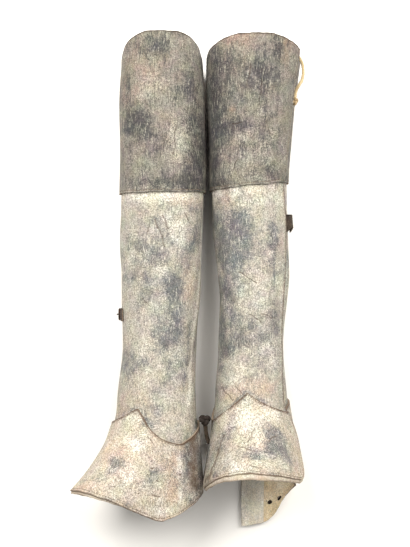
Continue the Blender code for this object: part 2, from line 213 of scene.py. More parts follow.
def barePoint(spat, turn, y):
    centreX, halfWidth, height, flat, front, lean = sectionAt(spat, y)
    turn = leaned(turn, lean)
    angle = np.radians(front + spat["outer"] * turn)
    halfHeight = (height + hide["flatSink"]) / 2
    centreZ = flat + height - halfHeight
    side, up = np.abs(np.sin(angle)) / halfWidth, np.abs(np.cos(angle)) / halfHeight
    radius = (side ** hide["roundness"] + up ** hide["roundness"]) ** (-1 / hide["roundness"])
    below = np.maximum(spat["flareTop"] - y, 0)
    run = (np.minimum(below, hide["flareMost"]) / hide["flareRun"]) ** hide["flarePower"]
    ahead, across = np.cos(np.radians(turn)), np.sin(np.radians(turn))
    reach = halfHeight + np.where(ahead > 0, hide["flareReach"] * run, 0.0)
    wide = halfWidth + spat["flareWidth"] * run
    foot = ((across / wide) ** 2 + (ahead / reach) ** 2) ** -0.5
    radius = radius + (foot - radius) * smooth(below / hide["flareBlend"]) + unevenness(spat, turn, y)
    point = np.stack((centreX + radius * np.sin(angle), y, centreZ + radius * np.cos(angle)), axis=1)
    return point, flat


def formPoints(spat, turn, y, lift):
    turn, y, lift = np.broadcast_arrays(*(np.asarray(each, dtype=float) for each in (turn, y, lift)))
    turn, y, lift = turn.ravel(), y.ravel(), lift.ravel()
    point, flat = barePoint(spat, turn, y)
    roundIt = barePoint(spat, turn + 0.5, y)[0] - barePoint(spat, turn - 0.5, y)[0]
    along = barePoint(spat, turn, y + 0.001)[0] - barePoint(spat, turn, y - 0.001)[0]
    normal = np.cross(roundIt, along) * spat["outer"]
    normal /= np.linalg.norm(normal, axis=1)[:, None]
    point = point + normal * lift[:, None]
    point[:, 2] = np.maximum(point[:, 2], np.maximum(flat - lift, 0))
    point[:, 0] -= middle[0]
    point[:, 1] -= middle[1]
    return point, normal


def lapLift(spat, turn):
    start = spat["closure"] - 360 + hide["lapRamp"]
    return -hide["lapDrop"] * smooth((start - turn) / hide["lapRampRun"])


# a cut edge is never quite true
def ragged(turn, size, seed):
    around = np.radians(turn)
    waves = ((1, 7, 1), (0.7, 17, 2), (0.5, 41, 5))
    return size * sum(high * np.sin(often * around + start * seed) for high, often, start in waves)


def towards(values, turn):
    return np.where(signed(turn) > 0, values["outer"], values["inner"])


def rimLine(spat, turn):
    rim = spat["rim"]
    away = np.abs(signed(leaned(turn, spat["stations"][0][6])))
    drop = rim["drop"] * smooth((away - corners["rimStart"]) / corners["rimRun"])
    return rim["front"] - drop + rim["tilt"] * np.sin(np.radians(turn)) + ragged(turn, 0.0003, 1)


def kneeLine(spat, turn):
    seam = spat["kneeSeam"]
    return seam["front"] + seam["tilt"] * np.sin(np.radians(turn)) + ragged(turn, 0.00045, 2)


def ankleLine(spat, turn):
    away = np.abs(signed(turn))
    down = np.sin(np.radians(90 * np.minimum(away, ankle["corner"]) / ankle["corner"]))
    up = ankle["rise"] * np.clip((away - ankle["corner"]) / ankle["riseRun"], 0, 1)
    dip = np.where(away < ankle["corner"], down, 1 - up)
    return spat["peak"] - towards(spat["seamDepth"], turn) * dip + ragged(turn, 0.0003, 3)


def hemLine(spat, turn):
    hem = spat["hem"]
    away = np.abs(signed(turn))
    side = hem["tip"] - towards(hem, turn) * smooth(away / corners["hemSide"])
    heel = np.where(signed(turn) > 0, hem["heelOut"], hem["heelIn"])
    heel = heel + ((hem["heelOut"] + hem["heelIn"]) / 2 - heel) * smooth((away - 150) / 30)
    line = side + (heel - side) * smooth((away - corners["heelStart"]) / corners["heelRun"])
    line = line + hem["corner"] * smooth((signed(turn) - 40) / 30) * (1 - smooth((signed(turn) - 100) / 40))
    return line + ragged(turn, 0.0004, 4)


def pickOnly(piece):
    if bpy.context.object and bpy.context.object.mode != "OBJECT":
        bpy.ops.object.mode_set(mode="OBJECT")
    bpy.ops.object.select_all(action="DESELECT")
    piece.select_set(True)
    bpy.context.view_layer.objects.active = piece


def outwardNormals():
    bpy.ops.mesh.select_all(action="SELECT")
    bpy.ops.mesh.normals_make_consistent(inside=False)
    bpy.ops.object.mode_set(mode="OBJECT")


# every piece rides on the one still body; node is the plain solid that it stands for
def takePlace(piece, node=None):
    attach(piece, "root")
    if node:
        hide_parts(node)


# the finishes start here


def addNode(tree, kind, settings=None, **values):
    node = tree.nodes.new(kind)
    for name, value in (settings or {}).items():
        setattr(node, name, value)
    for name, value in values.items():
        socket = node.inputs[int(name[1:])] if name[0] == "i" and name[1:].isdigit() else node.inputs[name]
        if isinstance(value, bpy.types.NodeSocket):
            tree.links.new(value, socket)
        else:
            socket.default_value = value
    return node


def calculate(tree, operation, a, b=0.0, clamp=False):
    kind = {"operation": operation, "use_clamp": clamp}
    return addNode(tree, "ShaderNodeMath", kind, i0=a, i1=b).outputs[0]


def plus(tree, a, b):
    return calculate(tree, "ADD", a, b)


def minus(tree, a, b):
    return calculate(tree, "SUBTRACT", a, b)


def times(tree, a, b):
    return calculate(tree, "MULTIPLY", a, b)


def spread(tree, value, low, high, toLow=0.0, toHigh=1.0):
    return addNode(
        tree,
        "ShaderNodeMapRange",
        {"interpolation_type": "SMOOTHSTEP"},
        i0=value,
        i1=low,
        i2=high,
        i3=toLow,
        i4=toHigh,
    ).outputs[0]


def mixColours(tree, amount, a, b, blend="MIX"):
    node = addNode(tree, "ShaderNodeMix", {"data_type": "RGBA", "blend_type": blend})
    for socket, value in ((node.inputs[0], amount), (node.inputs[6], a), (node.inputs[7], b)):
        if isinstance(value, bpy.types.NodeSocket):
            tree.links.new(value, socket)
        else:
            socket.default_value = value
    return node.outputs[2]


def mottle(tree, coords, scale, detail=4.0, roughness=0.6, distortion=0.0):
    return addNode(
        tree,
        "ShaderNodeTexNoise",
        Vector=coords,
        Scale=scale,
        Detail=detail,
        Roughness=roughness,
        Distortion=distortion,
    ).outputs["Fac"]


def newGroup(name, inputs, outputs):
    group = bpy.data.node_groups.new(name, "ShaderNodeTree")
    for label, kind, value in inputs:
        socket = group.interface.new_socket(label, in_out="INPUT", socket_type=kind)
        socket.default_value = value
    for label, kind in outputs:
        group.interface.new_socket(label, in_out="OUTPUT", socket_type=kind)
    return group, group.nodes.new("NodeGroupInput").outputs, group.nodes.new("NodeGroupOutput").inputs


# old waxed hide: clouds of stain, chalky bloom, streaks along the leg, scuffs, speckle, pits, dark edges; the painted
# stain, bloom and edge attributes also carry painted shade and painted highlights
def makeWornHide():
    colour, number = "NodeSocketColor", "NodeSocketFloat"
    group, given, made = newGroup(
        "wornHide",
        (
            ("Base", colour, (0.3, 0.27, 0.22, 1)),
            ("Dark", colour, (0.08, 0.08, 0.08, 1)),
            ("Pale", colour, (0.6, 0.55, 0.45, 1)),
            ("Tan", colour, (0.4, 0.3, 0.22, 1)),
            ("Edge Colour", colour, (0.09, 0.06, 0.04, 1)),
            ("Stain", number, 0.5),
            ("Bloom", number, 0.5),
            ("Warmth", number, 0.5),
            ("Speckle", number, 0.5),
            ("Streaks", number, 0.5),
            ("Scuffs", number, 0.5),
            ("Pits", number, 0.5),
            ("Cracks", number, 0.0),
        ),
        (("Colour", colour), ("Roughness", number), ("Height", number)),
    )
    coords = addNode(group, "ShaderNodeTexCoord").outputs["Object"]
    wearAndPaintedLight = addNode(group, "ShaderNodeAttribute", {"attribute_name": "wearAndPaintedLight"}).outputs["Color"]
    split = addNode(group, "ShaderNodeSeparateColor", Color=wearAndPaintedLight).outputs
    edgeAndShade = addNode(group, "ShaderNodeAttribute", {"attribute_name": "edgeAndShade"}).outputs["Fac"]
    shifted = addNode(group, "ShaderNodeMapping", Vector=coords, Location=(3.1, 1.7, 5.3)).outputs[0]
    cloud = mottle(group, coords, 15.0, 5.0, 0.6, 0.4)
    patch = mottle(group, coords, 58.0, 6.0, 0.68, 0.3)
    bloomCloud = mottle(group, shifted, 44.0, 6.0, 0.7, 0.2)
    warmCloud = mottle(group, shifted, 19.0, 4.0, 0.6)
    coarse, fine = mottle(group, coords, 430.0, 3.0, 0.85), mottle(group, shifted, 880.0, 2.0, 0.8)
    speck = plus(group, times(group, coarse, 0.55), times(group, fine, 0.45))
    darkSpeck = mottle(group, shifted, 460.0, 4.0, 0.85)
    stretched = addNode(group, "ShaderNodeMapping", Vector=coords, Scale=(230.0, 22.0, 230.0)).outputs[0]
    streak = mottle(group, stretched, 1.0, 4.0, 0.65)
    streak = plus(group, 0.5, times(group, minus(group, streak, 0.5), given["Streaks"]))

    def less(value, amount=0.5):
        return minus(group, value, amount)

    # stain, bloom and warmth each grow where the leather was painted with them, painted shade and painted highlights
    # among them
    def cover(painted, share, parts, low, high, most):
        total = plus(group, painted, share)
        for value, weight in parts:
            total = plus(group, total, times(group, less(value), weight))
        return spread(group, total, low, high, 0.0, most)

    parts = ((patch, 2.5), (cloud, 2.8), (streak, 1.5), (darkSpeck, 1.9))
    stainAndShade = cover(split[0], given["Stain"], parts, 0.28, 1.45, 0.95)
    bloomAndHighlight = cover(split[1], given["Bloom"], ((bloomCloud, 2.6), (speck, 2.4), (streak, 0.6)), 0.35, 1.4, 0.95)
    warmth = cover(split[2], given["Warmth"], ((warmCloud, 1.5), (patch, 0.6), (speck, 0.5)), 0.35, 1.2, 0.9)
    colourNow = mixColours(group, warmth, given["Base"], given["Tan"])
    colourNow = mixColours(group, stainAndShade, colourNow, given["Dark"])
    colourNow = mixColours(group, bloomAndHighlight, colourNow, given["Pale"])
    tints = addNode(group, "ShaderNodeTexNoise", Vector=coords, Scale=42.0, Detail=3.0, Roughness=0.55)
    stronger = {"i0": tints.outputs["Color"], "i1": (1.9, 1.9, 1.9), "i2": (-0.45, -0.45, -0.45)}
    tints = addNode(group, "ShaderNodeVectorMath", {"operation": "MULTIPLY_ADD"}, **stronger).outputs[0]
    colourNow = mixColours(group, 0.11, colourNow, tints, "SOFT_LIGHT")

    # scuffs: short thin marks, some pale and some dark, leaning both ways
    def scuffs(angle, long, place, low, high):
        lying = {"Location": place, "Rotation": (0, 0, angle), "Scale": (640.0, long, 640.0)}
        turned = addNode(group, "ShaderNodeMapping", Vector=coords, **lying).outputs[0]
        return spread(group, mottle(group, turned, 1.0, 2.0, 0.5), low, high)

    def crossed(one, other):
        return calculate(group, "MAXIMUM", scuffs(*one, 0.60, 0.68), scuffs(*other, 0.61, 0.69))

    pale = crossed((0.6, 95.0, (4, 1, 0)), (-0.8, 80.0, (1, 8, 0)))
    dark = crossed((0.25, 90.0, (9, 3, 0)), (-0.5, 85.0, (2, 6, 0)))
    colourNow = mixColours(group, times(group, times(group, pale, given["Scuffs"]), 0.8), colourNow, given["Pale"])
    colourNow = mixColours(group, times(group, times(group, dark, given["Scuffs"]), 0.8), colourNow, given["Dark"])

    bright = spread(group, speck, 0.38, 0.62)
    lower = minus(group, 1.0, times(group, given["Speckle"], 0.62))
    upper = plus(group, 1.0, times(group, given["Speckle"], 0.52))
    level = addNode(group, "ShaderNodeMapRange", i0=bright, i1=0.0, i2=1.0, i3=lower, i4=upper).outputs[0]
    shade = addNode(group, "ShaderNodeCombineColor", Red=level, Green=level, Blue=level).outputs[0]
    colourNow = mixColours(group, 1.0, colourNow, shade, "MULTIPLY")

    pit = spread(group, mottle(group, shifted, 170.0, 3.0, 0.6, 0.6), 0.665, 0.70)
    colourNow = mixColours(group, times(group, pit, given["Pits"]), colourNow, given["Edge Colour"])
    colourNow = mixColours(group, times(group, given["Cracks"], 0.6), colourNow, given["Edge Colour"])
    # dark edges, darkened further where painted shade was drawn into the edge attribute
    wornAndShaded = plus(group, edgeAndShade, times(group, less(patch), 1.1))
    rim = spread(group, wornAndShaded, 0.38, 0.95)
    colourNow = mixColours(group, rim, colourNow, given["Edge Colour"])
    group.links.new(colourNow, made["Colour"])

    rough = plus(group, 0.80, times(group, bloomAndHighlight, 0.12))
    group.links.new(minus(group, rough, times(group, stainAndShade, 0.16)), made["Roughness"])
    height = plus(group, times(group, speck, 0.6), times(group, patch, 0.6))
    height = plus(group, height, times(group, streak, 0.4))
    height = minus(group, height, times(group, calculate(group, "MAXIMUM", pit, dark), 0.25))
    height = minus(group, height, times(group, given["Cracks"], 0.8))
    group.links.new(height, made["Height"])
    return group


# a thin crooked line from one place to another, seen from above
def makeCrackLine():
    vector, number = "NodeSocketVector", "NodeSocketFloat"
    group, given, made = newGroup(
        "crackLine",
        (
            ("Start", vector, (0, 0, 0)),
            ("End", vector, (0, 1, 0)),
            ("Half Width", number, 0.0006),
            ("Sharing", number, 0.0),
        ),
        (("Mask", number),),
    )

    def vectors(operation, a, b, out=0):
        return addNode(group, "ShaderNodeVectorMath", {"operation": operation}, i0=a, i1=b).outputs[out]

    coords = addNode(group, "ShaderNodeTexCoord").outputs["Object"]
    wobble = addNode(group, "ShaderNodeTexNoise", Vector=coords, Scale=70.0, Detail=5.0).outputs["Color"]
    wobble = vectors("MULTIPLY", vectors("SUBTRACT", wobble, (0.5, 0.5, 0.5)), (0.010, 0.010, 0.0))
    place = vectors("ADD", vectors("MULTIPLY", coords, (1, 1, 0)), wobble)
    whole = vectors("SUBTRACT", given["End"], given["Start"])
    offset = vectors("SUBTRACT", place, given["Start"])
    reach, square = vectors("DOT_PRODUCT", offset, whole, 1), vectors("DOT_PRODUCT", whole, whole, 1)
    share = calculate(group, "DIVIDE", reach, square, clamp=True)
    reached = addNode(group, "ShaderNodeVectorMath", {"operation": "SCALE"}, i0=whole, Scale=share).outputs[0]
    away = vectors("DISTANCE", offset, reached, 1)
    ratio = calculate(group, "DIVIDE", away, given["Half Width"])
    thin = minus(group, 1.0, spread(group, ratio, 0.5, 1.5))
    top = addNode(group, "ShaderNodeSeparateXYZ", Vector=coords).outputs[2]
    thin = times(group, thin, spread(group, top, 0.035, 0.05))
    group.links.new(calculate(group, "MAXIMUM", thin, given["Sharing"]), made["Mask"])
    return group


wornHide = makeWornHide()
crackLine = makeCrackLine()


def newMaterial(name):
    material = bpy.data.materials.new(name)
    material.use_nodes = True
    return material, material.node_tree, material.node_tree.nodes["Principled BSDF"]


def hideMaterial(name, bump=0.0011, cracks=(), **values):
    material, tree, shader = newMaterial(name)
    wornAndShaded = addNode(tree, "ShaderNodeGroup", {"node_tree": wornHide})
    mask = None
    for startX, startY, endX, endY, halfWidth in cracks:
        line = addNode(tree, "ShaderNodeGroup", {"node_tree": crackLine})
        line.inputs["Start"].default_value = (startX / 1000, startY / 1000, 0)
        line.inputs["End"].default_value = (endX / 1000, endY / 1000, 0)
        line.inputs["Half Width"].default_value = halfWidth / 1000
        if mask:
            tree.links.new(mask, line.inputs["Sharing"])
        mask = line.outputs["Mask"]
    if mask:
        tree.links.new(mask, wornAndShaded.inputs["Cracks"])
    for label, value in values.items():
        wornAndShaded.inputs[label.replace("_", " ")].default_value = value
    relief = addNode(tree, "ShaderNodeBump", Height=wornAndShaded.outputs["Height"], Strength=0.8, Distance=bump)
    tree.links.new(wornAndShaded.outputs["Colour"], shader.inputs["Base Color"])
    tree.links.new(wornAndShaded.outputs["Roughness"], shader.inputs["Roughness"])
    tree.links.new(relief.outputs[0], shader.inputs["Normal"])
    shader.inputs["Specular IOR Level"].default_value = 0.25
    return material


finishes = {
    "knee": hideMaterial(
        "blackenedHide",
        cracks=(
            (88, 322, 82, 290, 0.6), (104, 300, 100, 262, 0.6), (70, 205, 64, 170, 0.5),
            (-20, 232, -24, 190, 0.6), (110, 240, 118, 220, 0.5), (62, 236, 74, 238, 0.8),
        ),
        Base=(0.186, 0.169, 0.142, 1),
        Dark=(0.043, 0.041, 0.042, 1),
        Pale=(0.360, 0.338, 0.276, 1),
        Tan=(0.251, 0.188, 0.142, 1),
        Edge_Colour=(0.051, 0.034, 0.025, 1),
        Stain=0.36, Bloom=0.22, Warmth=0.22, Speckle=0.85, Streaks=1.2, Scuffs=0.65, Pits=0.15,
    ),
    "leg": hideMaterial(
        "chalkyHide",
        cracks=(
            (-52, 96, -46, 82, 0.9), (-46, 82, -37, 56, 0.8), (-40, 104, -32, 82, 0.7), (-58, 92, -62, 76, 0.6),
            (-70, -18, -58, -30, 0.6), (-8, 108, 2, 88, 0.7), (70, 20, 98, 4, 0.7), (88, -42, 104, -54, 0.7),
            (46, -150, 62, -168, 0.7), (64, -146, 78, -160, 0.6),
            (104, -40, 122, -48, 0.5), (-88, 30, -66, 26, 0.5),
        ),
        Base=(0.345, 0.319, 0.269, 1),
        Dark=(0.106, 0.107, 0.110, 1),
        Pale=(0.550, 0.524, 0.453, 1),
        Tan=(0.380, 0.304, 0.238, 1),
        Edge_Colour=(0.090, 0.062, 0.045, 1),
        Stain=0.32, Bloom=0.30, Warmth=0.15, Speckle=0.85, Streaks=0.35, Scuffs=0.60, Pits=0.30,
    ),
    "foot": hideMaterial(
        "bleachedHide",
        cracks=(
            (-62, -218, -54, -226, 0.7), (-54, -298, -44, -302, 0.8),
            (48, -216, 34, -262, 0.8), (34, -262, 22, -286, 0.8), (92, -206, 84, -222, 0.7), (66, -228, 92, -234, 0.6),
            (112, -222, 122, -216, 0.8), (84, -252, 100, -256, 0.8),
        ),
        Base=(0.402, 0.355, 0.286, 1),
        Dark=(0.104, 0.105, 0.106, 1),
        Pale=(0.601, 0.577, 0.507, 1),
        Tan=(0.430, 0.335, 0.252, 1),
        Edge_Colour=(0.102, 0.065, 0.044, 1),
        Stain=0.28, Bloom=0.40, Warmth=0.34, Speckle=0.95, Streaks=0.30, Scuffs=0.60, Pits=1.0,
    ),
    "welt": hideMaterial(
        "paleWelt",
        Base=(0.421, 0.365, 0.296, 1),
        Dark=(0.108, 0.077, 0.058, 1),
        Pale=(0.575, 0.544, 0.473, 1),
        Tan=(0.350, 0.243, 0.164, 1),
        Edge_Colour=(0.253, 0.198, 0.148, 1),
        Stain=0.18, Bloom=0.40, Warmth=0.28, Speckle=0.55, Scuffs=0.40, Pits=0.50,
    ),
    "heel": hideMaterial(
        "tanHide",
        Base=(0.860, 0.775, 0.580, 1),
        Dark=(0.330, 0.265, 0.175, 1),
        Pale=(0.920, 0.890, 0.760, 1),
        Tan=(0.700, 0.540, 0.330, 1),
        Edge_Colour=(0.066, 0.040, 0.025, 1),
        Stain=0.02, Bloom=0.40, Warmth=0.24, Speckle=0.45, Scuffs=0.40, Pits=0.60,
    ),
    "stay": hideMaterial(
        "whitenedHide",
        Base=(0.870, 0.855, 0.785, 1),
        Dark=(0.400, 0.400, 0.360, 1),
        Pale=(0.930, 0.925, 0.880, 1),
        Tan=(0.640, 0.560, 0.420, 1),
        Edge_Colour=(0.085, 0.068, 0.052, 1),
        Stain=0.0, Bloom=0.46, Warmth=0.12, Speckle=0.45, Scuffs=0.40, Pits=0.40,
    ),
    "flesh": hideMaterial(
        "fleshSide",
        Base=(0.198, 0.157, 0.112, 1),
        Dark=(0.059, 0.046, 0.035, 1),
        Pale=(0.306, 0.262, 0.203, 1),
        Tan=(0.187, 0.122, 0.068, 1),
        Stain=0.30, Bloom=0.18, Warmth=0.30, Speckle=0.65, Scuffs=0.20, Pits=0.20,
    ),
    "cutEdge": hideMaterial(
        "cutEdge",
        bump=0.0006,
        Base=(0.180, 0.133, 0.096, 1),
        Dark=(0.050, 0.034, 0.024, 1),
        Pale=(0.397, 0.340, 0.270, 1),
        Tan=(0.201, 0.127, 0.074, 1),
        Stain=0.30, Bloom=0.26, Warmth=0.30, Speckle=0.60, Scuffs=0.0, Pits=0.0,
    ),
    # also used for the dark plugs in the heel holes, which are painted shade
    "stub": hideMaterial(
        "blackStrapAndHoleShade",
        bump=0.0008,
        Base=(0.018, 0.012, 0.009, 1),
        Dark=(0.006, 0.004, 0.003, 1),
        Pale=(0.090, 0.065, 0.048, 1),
        Tan=(0.040, 0.022, 0.014, 1),
        Stain=0.35, Bloom=0.10, Warmth=0.30, Speckle=0.60, Scuffs=0.30,
    ),
    "strap": hideMaterial(
        "strapHide",
        bump=0.0008,
        Base=(0.043, 0.029, 0.020, 1),
        Dark=(0.008, 0.005, 0.004, 1),
        Pale=(0.243, 0.203, 0.162, 1),
        Tan=(0.064, 0.037, 0.020, 1),
        Edge_Colour=(0.011, 0.007, 0.005, 1),
        Stain=0.35, Bloom=0.14, Warmth=0.30, Speckle=0.60, Scuffs=0.30, Pits=0.20,
    ),
}


# the thread of the seams, dark with wax and age
def threadMaterial():
    material, tree, shader = newMaterial("waxedThread")
    coords = addNode(tree, "ShaderNodeTexCoord").outputs["Object"]
    shade = spread(tree, mottle(tree, coords, 260.0, 3.0), 0.35, 0.7)
    colour = mixColours(tree, shade, (0.075, 0.050, 0.035, 1), (0.260, 0.200, 0.140, 1))
    tree.links.new(colour, shader.inputs["Base Color"])
    fibre = mottle(tree, coords, 1800.0, 2.0)
    relief = addNode(tree, "ShaderNodeBump", Height=fibre, Strength=0.5, Distance=0.0003)
    tree.links.new(relief.outputs[0], shader.inputs["Normal"])
    shader.inputs["Roughness"].default_value = 0.7
    return material


def twineMaterial(name, soil):
    material, tree, shader = newMaterial(name)
    coords = addNode(tree, "ShaderNodeTexCoord").outputs["Object"]
    fibre = addNode(tree, "ShaderNodeMapping", Vector=coords, Scale=(1.0, 0.45, 1.0)).outputs[0]
    strands = mottle(tree, fibre, 1500.0, 3.0, 0.7)
    soiled = spread(tree, mottle(tree, coords, 70.0, 3.0), 0.42, 0.75)
    colour = mixColours(tree, spread(tree, strands, 0.3, 0.7), (0.42, 0.29, 0.14, 1), (0.80, 0.68, 0.43, 1))
    soiled = plus(tree, soil, times(tree, soiled, 0.6 - soil / 2))
    colour = mixColours(tree, soiled, colour, (0.28, 0.18, 0.09, 1))
    tree.links.new(colour, shader.inputs["Base Color"])
    relief = addNode(tree, "ShaderNodeBump", Height=strands, Strength=0.9, Distance=0.0005)
    tree.links.new(relief.outputs[0], shader.inputs["Normal"])
    shader.inputs["Roughness"].default_value = 0.9
    return material


def ironMaterial():
    material, tree, shader = newMaterial("rustedIron")
    coords = addNode(tree, "ShaderNodeTexCoord").outputs["Object"]
    rust = spread(tree, mottle(tree, coords, 420.0, 5.0, 0.7), 0.42, 0.62)
    colour = mixColours(tree, rust, (0.030, 0.026, 0.024, 1), (0.130, 0.055, 0.025, 1))
    tree.links.new(colour, shader.inputs["Base Color"])
    tree.links.new(minus(tree, 0.85, times(tree, rust, 0.7)), shader.inputs["Metallic"])
    tree.links.new(plus(tree, 0.45, times(tree, rust, 0.4)), shader.inputs["Roughness"])
    relief = addNode(tree, "ShaderNodeBump", Height=rust, Strength=0.8, Distance=0.0004)
    tree.links.new(relief.outputs[0], shader.inputs["Normal"])
    return material


finishes["thread"] = threadMaterial()
finishes["twine"] = twineMaterial("hempTwine", 0.05)
finishes["knot"] = twineMaterial("soiledTwine", 0.6)
finishes["iron"] = ironMaterial()
print("finishes made:", len(finishes))

# stains painted on the leather, in millimetres: x, y, half width, half length, strength

stains = {
    "knee_left": (
        (-70, 235, 34, 40, 0.38), (10, 200, 26, 80, 0.40), (-60, 350, 18, 16, 0.6), (-38, 343, 9, 14, 0.5),
        (-85, 232, 16, 20, 0.45), (-75, 252, 13, 13, 0.4), (-60, 213, 12, 18, 0.35), (8, 165, 12, 26, 0.4),
        (-62, 150, 44, 8, 0.35), (-5, 295, 5, 28, 0.4), (-92, 295, 9, 16, 0.35), (-30, 150, 30, 7, 0.3),
        (-20, 275, 5, 20, 0.3),
    ),
    "knee_right": (
        (48, 300, 22, 80, 0.30), (110, 310, 22, 40, 0.25), (66, 210, 24, 30, 0.20), (60, 330, 7, 20, 0.45),
        (98, 332, 6, 18, 0.45), (130, 340, 7, 24, 0.4), (105, 300, 6, 26, 0.4), (121, 295, 7, 24, 0.4),
        (48, 200, 12, 40, 0.4), (110, 215, 12, 22, 0.3), (38, 255, 9, 60, 0.5), (90, 165, 20, 10, 0.3),
        (70, 240, 14, 16, 0.25),
    ),
    "leg_left": (
        (-66, 50, 38, 40, 0.32), (-24, -10, 24, 60, 0.22), (-44, -90, 24, 40, 0.22),
        (-45, 114, 6, 12, 0.45), (-70, 64, 14, 13, 0.4), (-52, 42, 16, 14, 0.4), (-80, 16, 14, 16, 0.35),
        (0, 113, 12, 8, 0.45), (9, 72, 6, 14, 0.35), (-4, 32, 9, 14, 0.35), (-17, 8, 9, 20, 0.4),
        (-21, -24, 9, 20, 0.5), (-26, -45, 9, 15, 0.5), (-30, -66, 12, 18, 0.45), (-35, -84, 13, 14, 0.45),
        (-70, -120, 13, 9, 0.35), (-92, -112, 9, 14, 0.3), (-30, -126, 9, 12, 0.35),
        (-48, -182, 8, 12, 0.5), (-46, -150, 6, 8, 0.4), (-2, -70, 6, 24, 0.3), (-78, -40, 14, 16, 0.25),
    ),
    "leg_right": (
        (74, 106, 11, 13, 0.35), (90, 70, 13, 18, 0.35), (123, 86, 6, 24, 0.45), (121, 42, 5, 30, 0.4),
        (60, 70, 6, 18, 0.4), (74, 54, 6, 16, 0.4), (60, 44, 8, 14, 0.4), (69, 16, 9, 24, 0.4),
        (80, 60, 56, 90, 0.42), (62, 40, 24, 60, 0.16), (64, -78, 24, 34, 0.30), (60, -70, 40, 80, 0.15),
        (52, 0, 9, 22, 0.35), (91, -50, 10, 12, 0.3), (121, -28, 7, 14, 0.35), (55, -70, 14, 22, 0.5),
        (76, -80, 12, 12, 0.4), (100, -70, 10, 10, 0.4), (54, -98, 8, 16, 0.4), (128, -58, 6, 18, 0.3),
        (130, -118, 6, 14, 0.3), (46, 60, 7, 60, 0.3),
    ),
    "foot_left": (
        (-106, -256, 8, 7, 1.0), (-112, -264, 5, 4, 0.9), (-128, -276, 8, 5, 0.6), (-55, -273, 20, 14, 0.8),
        (-51, -242, 11, 10, 0.6), (-65, -240, 8, 8, 0.3), (10, -255, 10, 34, 0.5),
        (-100, -250, 10, 7, 0.25), (-50, -316, 12, 5, 0.3),
    ),
    "foot_right": (
        (119, -214, 15, 12, 0.8), (131, -235, 13, 12, 0.8), (103, -240, 18, 8, 1.0), (88, -236, 8, 5, 0.8),
        (52, -230, 12, 24, 0.65), (34, -268, 11, 22, 0.6), (21, -284, 8, 9, 0.5), (114, -262, 12, 8, 0.45),
        (62, -205, 7, 10, 0.35), (144, -262, 6, 16, 0.3), (60, -262, 10, 7, 0.3),
    ),
}
blooms = {
    "knee_left": (
        (-65, 369, 9, 6, 0.4), (0, 359, 4, 5, 0.5), (-60, 290, 18, 22, 0.4), (-68, 275, 13, 12, 0.35),
        (-20, 229, 11, 16, 0.5), (-15, 212, 12, 14, 0.45), (-18, 195, 14, 14, 0.45), (-60, 140, 60, 5, 0.3),
    ),
    "knee_right": (
        (80, 221, 16, 12, 0.35), (91, 190, 16, 14, 0.4), (120, 200, 14, 20, 0.4), (75, 345, 8, 8, 0.3),
        (140, 180, 8, 20, 0.3), (90, 160, 22, 10, 0.3),
    ),
    "leg_left": (
        (-45, 130, 70, 8, 0.45), (-20, 92, 16, 13, 0.35), (-18, 70, 14, 16, 0.35), (-48, 24, 14, 13, 0.3),
        (-78, -96, 13, 9, 0.35), (-60, -90, 10, 9, 0.3), (-45, -136, 12, 14, 0.3), (-20, -125, 9, 14, 0.25),
        (-90, 60, 10, 40, 0.2),
    ),
    "leg_right": (
        (90, 128, 60, 10, 0.4), (98, 14, 10, 14, 0.35), (100, -14, 11, 14, 0.35), (75, -8, 9, 12, 0.3),
        (131, -5, 6, 16, 0.35), (106, -94, 14, 12, 0.4), (118, -104, 10, 10, 0.35),
        (76, -141, 12, 12, 0.35), (70, -124, 9, 9, 0.3),
    ),
    "foot_left": (
        (-85, -216, 10, 12, 0.4), (-90, -268, 14, 16, 0.35), (-45, -322, 16, 9, 0.4),
        (-76, -232, 10, 10, 0.3), (-120, -275, 8, 8, 0.3), (-30, -240, 10, 10, 0.2),
    ),
    "foot_right": (
        (76, -190, 12, 9, 0.5), (82, -202, 12, 11, 0.45), (111, -187, 12, 8, 0.45),
        (68, -259, 10, 12, 0.45), (95, -232, 16, 8, 0.3), (130, -278, 18, 6, 0.35), (100, -276, 24, 5, 0.4),
    ),
}
warms = {
    "knee_left": (
        (-76, 315, 28, 34, 0.45), (-92, 280, 16, 26, 0.4), (-40, 325, 18, 22, 0.3), (-62, 382, 60, 7, 0.5),
    ),
    "knee_right": (
        (60, 362, 30, 12, 0.5), (105, 368, 40, 9, 0.6), (142, 355, 16, 16, 0.6), (136, 325, 10, 24, 0.5),
        (61, 256, 5, 4, 0.9), (50, 340, 20, 20, 0.4),
    ),
    "leg_left": (
        (0, 15, 12, 30, 0.5), (-5, -15, 11, 24, 0.5), (-100, -172, 16, 34, 0.5), (-62, -166, 22, 20, 0.45),
        (-12, -170, 16, 28, 0.45), (-20, 124, 24, 9, 0.5), (0, 86, 8, 16, 0.3),
    ),
    "leg_right": (
        (54, 118, 20, 14, 0.5), (70, 54, 7, 20, 0.4), (105, -142, 12, 10, 0.5), (90, -152, 26, 12, 0.45),
        (64, -160, 18, 10, 0.4), (135, 100, 5, 60, 0.3),
    ),
    "foot_left": (
        (-20, -270, 16, 24, 0.5), (-26, -298, 14, 16, 0.5), (-120, -246, 20, 20, 0.5),
        (-100, -230, 18, 16, 0.45), (-146, -290, 16, 10, 0.4), (-100, -310, 40, 9, 0.3),
    ),
    "foot_right": (
        (160, -260, 9, 26, 0.5), (141, -276, 12, 9, 0.4), (60, -276, 24, 6, 0.4), (90, -278, 40, 5, 0.4),
    ),
}
